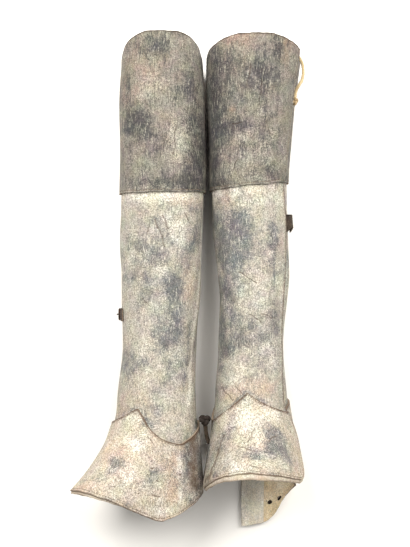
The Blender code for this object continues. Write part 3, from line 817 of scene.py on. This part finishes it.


# lines drawn on a panel by turn and y: both ends, half width, strength, then 0 for stain, 1 bloom,
# 2 warmth or 3 the dark of an edge; some are painted shade or painted highlights, as marked below
drawn = {
    # painted shade: the dark line on the quarter's top stands for the shadow in the slot under the foot's hem
    "heel": ((-240, -0.3105, -197, -0.3130, 0.0036, 1.1, 3),),
    "leg_left": (
        # painted highlight: the pale line along the leg's edge that faces the other leg, with a thin darker line just
        # inside it
        (-86, 0.11, -78, -0.19, 0.0050, 1.0, 1), (-74, 0.11, -66, -0.19, 0.0022, 0.35, 0),
        (22, 0.103, 10, 0.062, 0.0007, 0.8, 3), (10, 0.062, 7, 0.052, 0.0006, 0.6, 3),
        (6, 0.130, -2, 0.112, 0.0006, 0.7, 3), (-2, 0.112, -5, 0.098, 0.0005, 0.5, 3),
        (-52, 0.060, -30, -0.070, 0.0090, 0.30, 0), (-62, 0.080, -52, 0.010, 0.0060, 0.35, 0),
    ),
    "leg_right": (
        (-276, 0.125, -276, -0.19, 0.0120, 0.45, 1), (-276, 0.125, -276, -0.19, 0.0140, 0.40, 2),
        (38, 0.075, 40, -0.010, 0.0045, 0.35, 0), (62, 0.12, 64, -0.17, 0.0030, 0.35, 1),
        (-40, 0.080, -42, 0.020, 0.0010, 0.5, 3), (-30, 0.075, -32, 0.050, 0.0008, 0.5, 3),
        (-34, -0.160, -14, -0.176, 0.0007, 0.6, 3), (-60, -0.05, -62, -0.14, 0.0080, 0.3, 0),
    ),
    "knee_right": (
        # painted shadow: the broad dark band down the side that faces the other leg
        (-62, 0.33, -68, 0.14, 0.0170, 0.95, 0), (10, 0.335, 18, 0.20, 0.0030, 0.3, 0),
        (34, 0.34, 36, 0.23, 0.0035, 0.3, 0), (-14, 0.30, -12, 0.17, 0.0040, 0.25, 0),
    ),
    "knee_left": ((-44, 0.30, -46, 0.16, 0.0050, 0.3, 0), (38, 0.32, 42, 0.2, 0.0040, 0.25, 0)),
    "foot_left": (
        # painted shade: these two lines darken the flank that faces the other foot
        (-88, -0.20, -96, -0.31, 0.0220, 1.00, 0), (-90, -0.22, -96, -0.31, 0.0170, 0.75, 3),
        # the bloom line here is a painted highlight along the crest of the ridge; the warm line beside it is the pink
        # band of the leather
        (-60, -0.262, -64, -0.330, 0.0050, 0.45, 2), (-70, -0.262, -74, -0.330, 0.0040, 0.40, 1),
    ),
    "foot_right": (
        (-62, -0.238, -54, -0.300, 0.0008, 0.6, 3), (-8, -0.245, 10, -0.258, 0.0018, 0.5, 0),
        (22, -0.215, 30, -0.245, 0.0050, 0.45, 0), (-58, -0.222, -60, -0.27, 0.0070, 0.30, 0),
    ),
}


# stain, bloom and warmth for each point of a panel, and the dark of its cracks, with painted shade on the flanks and a
# painted warm bounce on the undersides
def paintPanel(key, turn, y, point, normal):
    made = np.zeros((len(turn), 4))
    place = point * 1000
    showing = smooth((normal[:, 2] + 0.25) / 0.5)
    for channel, marks in enumerate((stains, blooms, warms)):
        for x, yMark, halfWidth, halfLength, strength in marks.get(key, ()):
            away = ((place[:, 0] - x) / halfWidth) ** 2 + ((place[:, 1] - yMark) / halfLength) ** 2
            made[:, channel] += strength * np.exp(-0.6 * away) * showing
    for *ends, width, strength, channel in drawn.get(key, ()):
        made[:, channel] += strength * np.exp(-((besideLine(turn, y, ends)[0] / width) ** 2))
    # painted shade: the stain channel darkens every side that turns away from the lights overhead
    made[:, 0] += 0.26 * smooth((0.5 - normal[:, 2]) / 0.7)
    # painted warm light: down-facing sides are made warmer so the light they bounce into the gap comes out warm
    made[:, 2] += 0.8 * smooth((-0.2 - normal[:, 2]) / 0.4)
    return made


def giveAttributes(mesh, wearAndPaintedLight, edgeAndShade):
    layer = mesh.attributes.new("wearAndPaintedLight", "FLOAT_COLOR", "POINT")
    layer.data.foreach_set("color", np.column_stack((wearAndPaintedLight, np.ones(len(wearAndPaintedLight)))).astype(np.float32).ravel())
    layer = mesh.attributes.new("edgeAndShade", "FLOAT", "POINT")
    layer.data.foreach_set("value", edgeAndShade.astype(np.float32))


# edge steps are close together, so that the seam's groove and the cut edge have their own rows
edgeSteps = (0.0, 0.0007, 0.0014, 0.0021, 0.0028, 0.0035, 0.0042, 0.0052, 0.0066)
groove = {"inset": 0.0030, "depth": 0.0006, "half": 0.0009, "dark": 0.45}
cutWear = {"hem": 0.0017, "others": 0.0030, "power": 1.5}  # how far the dark of a cut edge reaches in


def evenSteps(low, high, count):
    return [low + (high - low) * k / count for k in range(count + 1)]


def rowsBetween(length, count):
    inner = evenSteps(edgeSteps[-1], length - edgeSteps[-1], count)
    return [*edgeSteps[:-1], *inner, *(length - step for step in reversed(edgeSteps[:-1]))]


def grooveAt(distance):
    return groove["depth"] * np.exp(-(((distance - groove["inset"]) / groove["half"]) ** 2))


# a shell of leather: a grid wrapped on the form, thickened inwards, its edges softened
def leatherShell(name, settings):
    spat = settings["spat"]
    turns = np.array(settings["turns"])
    shares = np.array(settings["rows"])
    columns, rows = len(turns) - 1, len(shares) - 1
    bpy.ops.mesh.primitive_grid_add(x_subdivisions=columns, y_subdivisions=rows, size=1)
    shell = bpy.context.object
    shell.name = name
    mesh = shell.data
    flatPlace = np.empty(len(mesh.vertices) * 3)
    mesh.vertices.foreach_get("co", flatPlace)
    flatPlace = flatPlace.reshape(-1, 3) + 0.5
    column = np.rint(flatPlace[:, 0] * columns).astype(int)
    row = np.rint(flatPlace[:, 1] * rows).astype(int)
    if spat["outer"] < 0:
        column = columns - column
    turn, share = turns[column], shares[row]
    low = settings["bottom"](turn) if callable(settings["bottom"]) else settings["bottom"]
    high = settings["top"](turn) if callable(settings["top"]) else settings["top"]
    y = low + (high - low) * share
    fromBottom, fromTop = y - low, high - y
    fromLap = (turns[-1] - turn) * perDegree
    lift = settings["lift"] + (lapLift(spat, turn) if settings.get("lapped", True) else 0.0)
    edgeAndShade = np.zeros(len(turn))
    for distance, sewn in zip((fromBottom, fromTop, fromLap), settings["sewn"]):
        if sewn is None:
            continue
        if sewn:
            lift = lift - grooveAt(distance)
            edgeAndShade = np.maximum(edgeAndShade, groove["dark"] * grooveAt(distance) / groove["depth"])
        dark = settings.get("edgeDark", (1.0, 1.0))[1 if distance is fromTop else 0]
        reach = cutWear["hem" if distance is fromBottom else "others"]
        edgeAndShade = np.maximum(edgeAndShade, dark * np.exp(-((distance / reach) ** cutWear["power"])))
    if "rise" in settings:
        lift = lift + settings["rise"](turn, share, fromBottom)
    point, normal = formPoints(spat, turn, y, lift)
    mesh.vertices.foreach_set("co", point.ravel())
    wearAndPaintedLight = paintPanel(settings.get("paint", ""), turn, y, point, normal)
    for distance, channel, centre, width, strength in settings.get("bands", ()):
        away = fromTop if distance == "top" else fromBottom
        wearAndPaintedLight[:, channel] += strength * np.exp(-(((away - centre) / width) ** 2))
    giveAttributes(mesh, np.clip(wearAndPaintedLight[:, :3], 0, 1), np.clip(edgeAndShade + wearAndPaintedLight[:, 3], 0, 1))
    cutHoles(mesh, settings.get("holes", ()))
    mesh.shade_smooth()
    for finish in (settings["finish"], settings.get("inside", "flesh"), settings.get("cut", "cutEdge")):
        mesh.materials.append(finishes[finish])
    wall = shell.modifiers.new("wall", "SOLIDIFY")
    wall.thickness = settings.get("wall", hide["wall"])
    wall.offset = -1
    wall.use_even_offset = False
    wall.material_offset = 1
    wall.material_offset_rim = 2
    soften = shell.modifiers.new("softEdge", "BEVEL")
    soften.width = 0.0005
    soften.segments = 2
    soften.limit_method = "ANGLE"
    soften.angle_limit = math.radians(55)
    finishShell(shell, settings["node"])
    return shell


# oval holes: faces inside are taken out, and the edge that's left is moved onto the oval
def cutHoles(mesh, holes):
    work = bmesh.new()
    work.from_mesh(mesh)

    def offset(point, hole):
        x, y, halfLong, halfWide, turned = hole
        local = Matrix.Rotation(-turned, 2) @ Vector((point.x - x, point.y - y))
        return Vector((local.x / halfLong, local.y / halfWide))

    for hole in holes:
        inside = [face for face in work.faces if offset(face.calc_center_median(), hole).length < 1]
        bmesh.ops.delete(work, geom=inside, context="FACES")
        for vertex in work.verts:
            away = offset(vertex.co, hole)
            if vertex.is_boundary and away.length < 1.8:
                onOval = away.normalized()
                back = Matrix.Rotation(hole[4], 2) @ Vector((onOval.x * hole[2], onOval.y * hole[3]))
                vertex.co.x, vertex.co.y = hole[0] + back.x, hole[1] + back.y
    work.to_mesh(mesh)
    work.free()


def finishShell(piece, node):
    pickOnly(piece)
    for modifier in list(piece.modifiers):
        bpy.ops.object.modifier_apply(modifier=modifier.name)
    takePlace(piece, node)


def wrapTurns(spat, count):
    low = spat["closure"] - hide["wrap"]
    nearLap = [spat["closure"] - step / perDegree for step in reversed(edgeSteps[:-1])]
    return [*evenSteps(low, spat["closure"] - edgeSteps[-1] / perDegree, count), *nearLap]


wrapColumns = 200
panelSizes = {
    "knee": {"rows": 95, "flat": (0.405, 0.246), "area": 0.091},
    "leg": {"rows": 205, "flat": (0.385, 0.405), "area": 0.140},
    "foot": {"rows": 66, "flat": (0.470, 0.165), "area": 0.056},
}


def makePanels(spat):
    side = spat["side"]
    turns = wrapTurns(spat, wrapColumns)

    def shareRows(kind, length):
        return [step / length for step in rowsBetween(length, panelSizes[kind]["rows"])]

    knee = leatherShell(
        f"kneePiece_{side}",
        {
            "spat": spat, "turns": turns, "rows": shareRows("knee", 0.22), "lift": hide["layer"],
            "bottom": lambda turn: kneeLine(spat, turn), "top": lambda turn: rimLine(spat, turn),
            "sewn": (True, False, True), "edgeDark": (0.45, 1.0), "finish": "knee", "paint": f"knee_{side}",
            "bands": (("bottom", 0, 0.009, 0.007, 0.25),),
            "node": f"knee_piece_{side}", "slot": "knee_leather",
        },
    )
    leg = leatherShell(
        f"legPanel_{side}",
        {
            "spat": spat, "turns": turns, "rows": shareRows("leg", 0.36), "lift": 0.0,
            "bottom": lambda turn: ankleLine(spat, turn) - hide["seamLap"],
            "top": lambda turn: kneeLine(spat, turn) + hide["seamLap"],
            "sewn": (None, None, True), "finish": "leg", "paint": f"leg_{side}",
            "bands": (
                ("top", 1, 0.020, 0.009, 0.35), ("top", 2, 0.022, 0.012, 0.60),
                # the stain band just above the ankle seam is painted shade, cast by the foot piece's edge lying over
                # the leg
                ("bottom", 0, 0.017, 0.005, 0.35), ("bottom", 2, 0.030, 0.020, 0.30),
            ),
            "node": f"leg_panel_{side}", "slot": "leg_leather",
        },
    )
    foot = leatherShell(
        f"footPiece_{side}",
        {
            "spat": spat, "turns": turns, "rows": shareRows("foot", 0.12), "lift": hide["layer"],
            "bottom": lambda turn: hemLine(spat, turn), "top": lambda turn: ankleLine(spat, turn),
            "sewn": (True, True, True), "edgeDark": (0.8, 1.0),
            "finish": "foot", "cut": "welt", "paint": f"foot_{side}",
            "bands": (
                ("bottom", 2, 0.004, 0.006, 0.35), ("top", 2, 0.004, 0.005, 0.30), ("top", 0, 0.002, 0.003, 0.25),
            ),
            "node": f"foot_piece_{side}", "slot": "foot_leather",
        },
    )
    print("panels made:", side)
    return {"knee": knee, "leg": leg, "foot": foot}


# the camera looks straight down
view = {"height": 2.0, "lens": 85.1, "over": (0.02144, 0.01799)}
bpy.ops.object.camera_add(location=(*view["over"], view["height"]), rotation=(0, 0, 0))
camera = bpy.context.object
camera.data.lens = view["lens"]
bpy.context.scene.camera = camera

# the one free cord: its own route, as in the solids, by turn, y and height over the knee piece
twine = {
    "width": 0.0046,
    "route": (
        (74.0, 0.3200, 0.0024), (79.0, 0.3185, 0.0045), (83.0, 0.3100, 0.0080), (85.0, 0.2980, 0.0100),
        (85.0, 0.2880, 0.0095), (84.0, 0.2810, 0.0070), (83.0, 0.2740, 0.0048), (82.0, 0.2660, 0.0045),
        (81.0, 0.2600, 0.0052),
    ),
    "knot": (81.0, 0.2555, 0.0056),
    "knotSize": 0.0040,
    "strands": 3,
    "lay": 0.0090,
}


def overKnee(spat, turn, y, height):
    lift = hide["layer"] + lapLift(spat, np.array([turn - 360.0]))[0] + height
    point, normal = formPoints(spat, turn, y, lift)
    return Vector(point[0]), Vector(normal[0])


def smoothCurve(points, steps):
    found = []
    for k in range(len(points) - 1):
        before, after = points[max(k - 1, 0)], points[min(k + 2, len(points) - 1)]
        start, end = points[k], points[k + 1]
        for j in range(steps):
            t = j / steps
            found.append(0.5 * (
                2 * start + (end - before) * t + (2 * before - 5 * start + 4 * end - after) * t**2
                + (3 * start - before - 3 * end + after) * t**3
            ))
    found.append(points[-1])
    return found


# a tube as a mesh, from a curve through the points
def tubeMesh(name, points, radius, finish, closed=False, sides=2):
    curve = bpy.data.curves.new(name, "CURVE")
    curve.dimensions = "3D"
    curve.bevel_depth = radius
    curve.bevel_resolution = sides
    curve.use_fill_caps = not closed
    spline = curve.splines.new("POLY")
    spline.points.add(len(points) - 1)
    for place, point in zip(spline.points, points):
        place.co = (*point, 1)
    spline.use_cyclic_u = closed
    piece = bpy.data.objects.new(name, curve)
    bpy.context.scene.collection.objects.link(piece)
    pickOnly(piece)
    bpy.ops.object.convert(target="MESH")
    piece = bpy.context.object
    bpy.ops.object.mode_set(mode="EDIT")
    bpy.ops.mesh.select_all(action="SELECT")
    bpy.ops.mesh.remove_doubles(threshold=0.00001)
    outwardNormals()
    piece.data.materials.clear()
    piece.data.materials.append(finishes[finish])
    piece.data.shade_smooth()
    return piece


def joinPieces(pieces, name):
    pickOnly(pieces[0])
    for piece in pieces[1:]:
        piece.select_set(True)
    bpy.ops.object.join()
    pieces[0].name = name
    return pieces[0]


# strands laid round each other along a route
def laidStrands(name, route, width, strands, lay, finish):
    radius = width / 4
    made = []
    for strand in range(strands):
        points = []
        run = 0.0
        for k, point in enumerate(route):
            ahead = route[min(k + 1, len(route) - 1)] - route[max(k - 1, 0)]
            ahead.normalize()
            if k:
                run += (point - route[k - 1]).length
            side = ahead.cross(Vector((0, 0, 1))).normalized()
            up = side.cross(ahead)
            angle = 2 * math.pi * (run / lay + strand / strands)
            points.append(point + (side * math.cos(angle) + up * math.sin(angle)) * radius)
        made.append(tubeMesh(f"{name}_{strand}", points, radius * 1.22, finish))
    return joinPieces(made, name)


# a trefoil of cord, drawn small: the lump of an overhand knot
def knotMesh(name, centre, size, radius, finish, squash=(1, 1, 1)):
    points = []
    for k in range(54):
        t = 2 * math.pi * k / 54
        x = (math.sin(t) + 2 * math.sin(2 * t)) / 3
        y = (math.cos(t) - 2 * math.cos(2 * t)) / 3
        z = -math.sin(3 * t) * 0.55
        points.append(centre + Vector((x * squash[0], y * squash[1], z * squash[2])) * size)
    return tubeMesh(name, points, radius, finish, closed=True)


def makeTwine(spat):
    route = [overKnee(spat, *step)[0] for step in twine["route"]]
    path = smoothCurve(route, 8)
    rope = laidStrands("kneeTwine_right", path, twine["width"], twine["strands"], twine["lay"], "twine")
    knot = knotMesh("twineKnot_right", overKnee(spat, *twine["knot"])[0], twine["knotSize"], 0.0021, "knot")
    for piece, node in ((rope, "knee_twine_right"), (knot, "twine_knot_right")):
        takePlace(piece, node)


makeTwine(rightSpat)
panels = {"left": makePanels(leftSpat), "right": makePanels(rightSpat)}


def makeWelt(spat):
    side = spat["side"]
    least, more = spat["weltReach"]

    def reach(turn):
        return least + more * np.cos(np.radians(turn * 1.1)) ** 2

    def roll(turn, share, fromBottom):
        out = np.clip(fromBottom / (reach(turn) + 0.001), 0, 1)
        return 0.0030 * np.sin(math.pi * out) ** 0.6 * min(1.0, (least + more) / 0.006)

    welt = leatherShell(
        f"hemWelt_{side}",
        {
            "spat": spat, "turns": evenSteps(-72, 48, 120), "rows": evenSteps(0, 1, 22), "lift": -0.0008,
            "bottom": lambda turn: hemLine(spat, turn) - reach(turn),
            "top": lambda turn: hemLine(spat, turn) + 0.012,
            "rise": roll, "wall": 0.002, "sewn": (False, None, None), "lapped": False, "edgeDark": (0.8, 0.0),
            "finish": "welt", "inside": "welt", "cut": "welt",
            "bands": (("bottom", 2, 0.001, 0.003, 0.3),),
            "node": f"hem_welt_{side}", "slot": "welt_leather",
        },
    )


# the right heel: a quarter punched for its lace, and a stiff stay sewn to its end; dark plugs in the holes are painted
# shade
heel = {
    "top": -0.240,
    "corner": -0.384,
    "stayHem": -0.389,
    "holes": ((0.1218, -0.3345, 0.0042, 0.0032, 0.5), (0.1372, -0.3272, 0.0044, 0.0024, 0.9)),
    "plugHeight": 0.0012,
    "plugSunk": 0.0004,
}


def makeHeel(spat):
    def quarterHem(turn):
        back = -turn
        line = heel["corner"] + 0.060 * smooth((back - 185) / 90) + 0.010 * smooth((back - 205) / 30)
        return line + ragged(turn, 0.0003, 6)

    def stayHem(turn):
        return heel["stayHem"] + (heel["corner"] - heel["stayHem"]) * smooth((-156 - turn) / 36)

    quarter = leatherShell(
        "heelQuarter_right",
        {
            "spat": spat, "turns": evenSteps(-252, -168, 110), "rows": evenSteps(0, 1, 110), "lift": -0.0006,
            "bottom": quarterHem, "top": heel["top"], "sewn": (True, None, None), "edgeDark": (0.7, 0.0),
            "finish": "heel", "inside": "heel", "paint": "heel",
            "bands": (("bottom", 2, 0.002, 0.006, 0.35),),
            "node": "heel_quarter_right", "slot": "heel_leather", "holes": heel["holes"], "cut": "strap",
        },
    )
    stay = leatherShell(
        "heelStay_right",
        {
            "spat": spat, "turns": evenSteps(-192, -156, 40), "rows": evenSteps(0, 1, 110),
            "lift": -0.0006 - hide["layer"], "bottom": stayHem, "top": heel["top"],
            "sewn": (False, None, False), "edgeDark": (0.5, 0.0),
            "finish": "stay", "inside": "stay", "cut": "cutEdge",
            "node": "heel_stay_right", "slot": "stay_leather",
        },
    )
    # painted shade: a dark plug sunk in each hole stands for the shadow seen through it
    ends = []
    for x, y, halfLong, halfWide, turned in heel["holes"]:
        bpy.ops.mesh.primitive_uv_sphere_add(segments=20, ring_count=10, radius=1)
        end = bpy.context.object
        surface = [v.co.z for v in quarter.data.vertices if math.hypot(v.co.x - x, v.co.y - y) < 0.008]
        plug = Matrix.Diagonal((halfLong * 1.02, halfWide * 1.02, heel["plugHeight"], 1))
        middleZ = (min(surface) + max(surface)) / 2 - heel["plugSunk"]
        end.data.transform(Matrix.Translation((x, y, middleZ)) @ Matrix.Rotation(turned, 4, "Z") @ plug)
        end.data.materials.append(finishes["stub"])
        end.data.shade_smooth()
        ends.append(end)
    holeShadePlugs = joinPieces(ends, "holeShadePlugs_right")
    takePlace(holeShadePlugs)
    print("heel pieces made")


keeper = {"turns": (-276.0, -250.0), "ends": (0.061, 0.088), "foot": 0.0028, "rise": 0.0072, "wall": 0.0018}


def makeKeeper(spat):
    low, high = keeper["turns"]

    def across(turn):
        return np.sin(math.pi * np.clip((turn - low) / (high - low), 0, 1))

    def loop(turn, share, fromBottom):
        return keeper["rise"] * across(turn) ** 0.6 * (1.0 - 0.12 * share)

    piece = leatherShell(
        "strapKeeper_right",
        {
            "spat": spat, "turns": evenSteps(low, high, 48), "rows": evenSteps(0, 1, 30),
            "lift": keeper["foot"],
            "bottom": lambda turn: keeper["ends"][0] + 0.008 * across(turn) ** 0.8, "top": keeper["ends"][1],
            "rise": loop, "wall": keeper["wall"],
            "sewn": (False, False, None), "finish": "strap", "inside": "strap", "cut": "cutEdge",
            "node": "strap_keeper_right", "slot": "strap_leather",
        },
    )


# the left calf: a strap end on a tab, its buckle and the tongue, and two points of bent wire
buckle = {
    "turns": (48.0, 72.0),
    "ends": (-0.071, -0.052),
    "wall": 0.0018,
    "turn": 76.0,
    "lift": 0.0046,
    "size": (0.012, 0.016),
    "wire": 0.0024,
    "tongue": 0.0020,
}


def makeBuckle(spat):
    tab = leatherShell(
        "buckleTab_left",
        {
            "spat": spat, "turns": evenSteps(*buckle["turns"], 40), "rows": evenSteps(0, 1, 30),
            "lift": buckle["wall"] + 0.0008, "bottom": buckle["ends"][0], "top": buckle["ends"][1],
            "wall": buckle["wall"], "lapped": False, "sewn": (True, True, False),
            "finish": "strap", "inside": "strap", "cut": "cutEdge",
            "node": "buckle_tab_left", "slot": "strap_leather",
        },
    )
    middleY = sum(buckle["ends"]) / 2
    root, above = (
        Vector(formPoints(spat, buckle["turn"], middleY, lift)[0][0])
        for lift in (buckle["lift"], buckle["lift"] + 0.001)
    )
    outward = (above - root).normalized()
    up = Vector((0, 1, 0))
    onward = outward.cross(up).normalized()
    across, along = buckle["size"][0] / 2, buckle["size"][1] / 2
    ring = []
    for k in range(40):
        angle = 2 * math.pi * k / 40
        a, b = (math.copysign(abs(c) ** 0.5, c) for c in (math.cos(angle), math.sin(angle)))
        ring.append(root + onward * across * a + up * along * b)
    loop = tubeMesh("buckleFrame_left", ring, buckle["wire"] / 2, "iron", closed=True, sides=4)
    above = outward * 0.0025
    spine = [root + above * (1 - 0.3 * t) + onward * across * (2.7 * t - 1.3) for t in (0, 0.3, 0.6, 0.85, 1)]
    tongue = tubeMesh("buckleTongue_left", spine, buckle["tongue"] / 2, "iron", sides=3)
    points = []
    for share, reach in ((0.55, 0.0065), (-0.35, 0.0050)):
        start = root + onward * across + up * along * share
        tip = start + (onward * 0.9 + up * 0.25 * share) * reach
        points.append(tubeMesh("wirePoint", [start, tip], 0.0006, "iron"))
    tongue = joinPieces([tongue, *points], "buckleTongue_left")
    for piece, node in ((loop, "buckle_frame_left"), (tongue, "buckle_tongue_left")):
        takePlace(piece, node)


# the knotted stub of a strap between the ankles, and the browner tail below the knot
stub = {
    "turn": -98.0, "y": -0.2180, "height": 0.0160, "size": 0.0064, "strap": 0.0034, "tail": 0.0030,
    "down": ((0, -0.004, -0.002), (0.001, -0.013, -0.006), (0.0025, -0.024, -0.010), (0.006, -0.036, -0.014)),
}


def makeStub(spat):
    centre = Vector(formPoints(spat, stub["turn"], stub["y"], stub["height"])[0][0])
    knot = knotMesh("ankleStrapStub_left", centre, stub["size"], stub["strap"], "stub", (1.0, 0.85, 0.9))
    half = Vector((0, 0.004, 0))
    core = tubeMesh("stubCore", [centre - half, centre + half], stub["tail"], "stub")
    down = [centre + Vector(step) for step in stub["down"]]
    tail = tubeMesh("stubTail", smoothCurve(down, 5), stub["tail"], "strap")
    piece = joinPieces([knot, core, tail], "ankleStrapStub_left")
    takePlace(piece, "ankle_strap_stub_left")
    print("fittings made")


makeWelt(leftSpat)
makeWelt(rightSpat)
makeHeel(rightSpat)
makeKeeper(rightSpat)
makeBuckle(leftSpat)
makeStub(leftSpat)

# stitches: one small rounded bar of thread, laid along the knee seam, the closure's edges, the ankle seam and the hem
stitch = {"length": 0.0031, "width": 0.0010, "pitch": 0.0043}


def stitchShape():
    bpy.ops.mesh.primitive_uv_sphere_add(segments=6, ring_count=6, radius=0.5)
    ball = bpy.context.object
    place = np.array([tuple(v.co) for v in ball.data.vertices])
    faces = [tuple(f.vertices) for f in ball.data.polygons]
    bpy.data.objects.remove(ball)
    place = np.sign(place) * np.abs(place * 2) ** 0.8 / 2
    return place * (stitch["width"], stitch["width"] * 0.8, stitch["length"]), faces


def alongLine(spat, turns, ys, lifts):
    point, normal = formPoints(spat, turns, ys, lifts)
    steps = np.linalg.norm(np.diff(point, axis=0), axis=1)
    run = np.concatenate(([0], np.cumsum(steps)))
    places = np.arange(stitch["pitch"] / 2, run[-1], stitch["pitch"])
    at, up = (
        np.column_stack([np.interp(places, run, values[:, k]) for k in range(3)]) for values in (point, normal)
    )
    ahead = np.gradient(at, axis=0)
    return at, up, ahead / np.linalg.norm(ahead, axis=1)[:, None]


def makeStitches(name, finish, rows):
    shape, faces = stitchShape()
    vertices, polygons = [], []
    for point, normal, ahead in rows:
        side = np.cross(ahead, normal)
        side /= np.linalg.norm(side, axis=1)[:, None]
        for at, up, on, off in zip(point, normal, ahead, side):
            slant = random.uniform(-0.16, 0.16)
            on, off = on + off * slant, off - on * slant
            base = len(vertices)
            size = random.uniform(0.82, 1.08)
            vertices.extend(at + (off * x + up * y + on * z * size) for x, y, z in shape)
            polygons.extend(tuple(base + k for k in face) for face in faces)
    mesh = bpy.data.meshes.new(name)
    mesh.from_pydata([tuple(v) for v in vertices], [], polygons)
    mesh.update()
    piece = bpy.data.objects.new(name, mesh)
    bpy.context.scene.collection.objects.link(piece)
    mesh.shade_smooth()
    mesh.materials.append(finishes[finish])
    pickOnly(piece)
    bpy.ops.object.mode_set(mode="EDIT")
    outwardNormals()
    takePlace(piece)


def sewSpat(spat):
    side = spat["side"]
    turns = np.linspace(spat["closure"] - 358, spat["closure"] - 4, 700)
    sunk = -0.0004
    over = hide["layer"] + lapLift(spat, turns) + sunk
    inset = groove["inset"]
    ys = np.linspace(0, 1, 400)
    closure = np.full(400, spat["closure"] - inset / perDegree)
    end = spat["closure"]
    lows = {
        "knee": (kneeLine(spat, end) + 0.006, rimLine(spat, end) - 0.004, hide["layer"]),
        "leg": (ankleLine(spat, end) + 0.004, kneeLine(spat, end) - 0.004, 0.0),
        "foot": (hemLine(spat, end) + 0.006, ankleLine(spat, end) - 0.006, hide["layer"]),
    }
    edges = {
        part: alongLine(spat, closure, low + (high - low) * ys, lift + sunk)
        for part, (low, high, lift) in lows.items()
    }
    knee, chevron, hem = (
        alongLine(spat, turns, line, over)
        for line in (kneeLine(spat, turns) + inset, ankleLine(spat, turns) - inset, hemLine(spat, turns) + inset)
    )
    makeStitches(f"kneeThread_{side}", "thread", [knee, edges["knee"]])
    makeStitches(f"legThread_{side}", "thread", [edges["leg"]])
    makeStitches(f"footThread_{side}", "thread", [chevron, hem, edges["foot"]])
    print("sewn:", side)


sewSpat(leftSpat)
sewSpat(rightSpat)

# floor and lights
room = {
    "sky": 0.26,
    "warm": (1.0, 0.975, 0.93),
    "floor": (0.935, 0.924, 0.903, 1),
    "softboxes": (
        ((-1.0, 1.0, 1.8), 1.4, 71.0),
        ((1.05, 0.85, 1.8), 1.4, 58.0),
        ((0.55, -1.35, 1.3), 0.8, 4.5),
    ),
}


def makeRoom():
    bpy.ops.mesh.primitive_plane_add(size=9, location=(0, 0, -0.0006))
    floor = bpy.context.object
    floor.name = "floor"
    material, tree, shader = newMaterial("paleFloor")
    shader.inputs["Base Color"].default_value = room["floor"]
    shader.inputs["Roughness"].default_value = 0.9
    floor.data.materials.append(material)
    for place, size, power in room["softboxes"]:
        bpy.ops.object.light_add(type="AREA", location=place)
        softbox = bpy.context.object
        softbox.data.size = size
        softbox.data.energy = power
        softbox.data.color = room["warm"]
        softbox.rotation_euler = (-softbox.location).to_track_quat("-Z", "Y").to_euler()
    world = bpy.data.worlds.new("softSky")
    world.use_nodes = True
    world.node_tree.nodes["Background"].inputs["Color"].default_value = (*room["warm"], 1)
    world.node_tree.nodes["Background"].inputs["Strength"].default_value = room["sky"]
    bpy.context.scene.world = world
    bpy.context.scene.view_settings.view_transform = "Standard"


makeRoom()
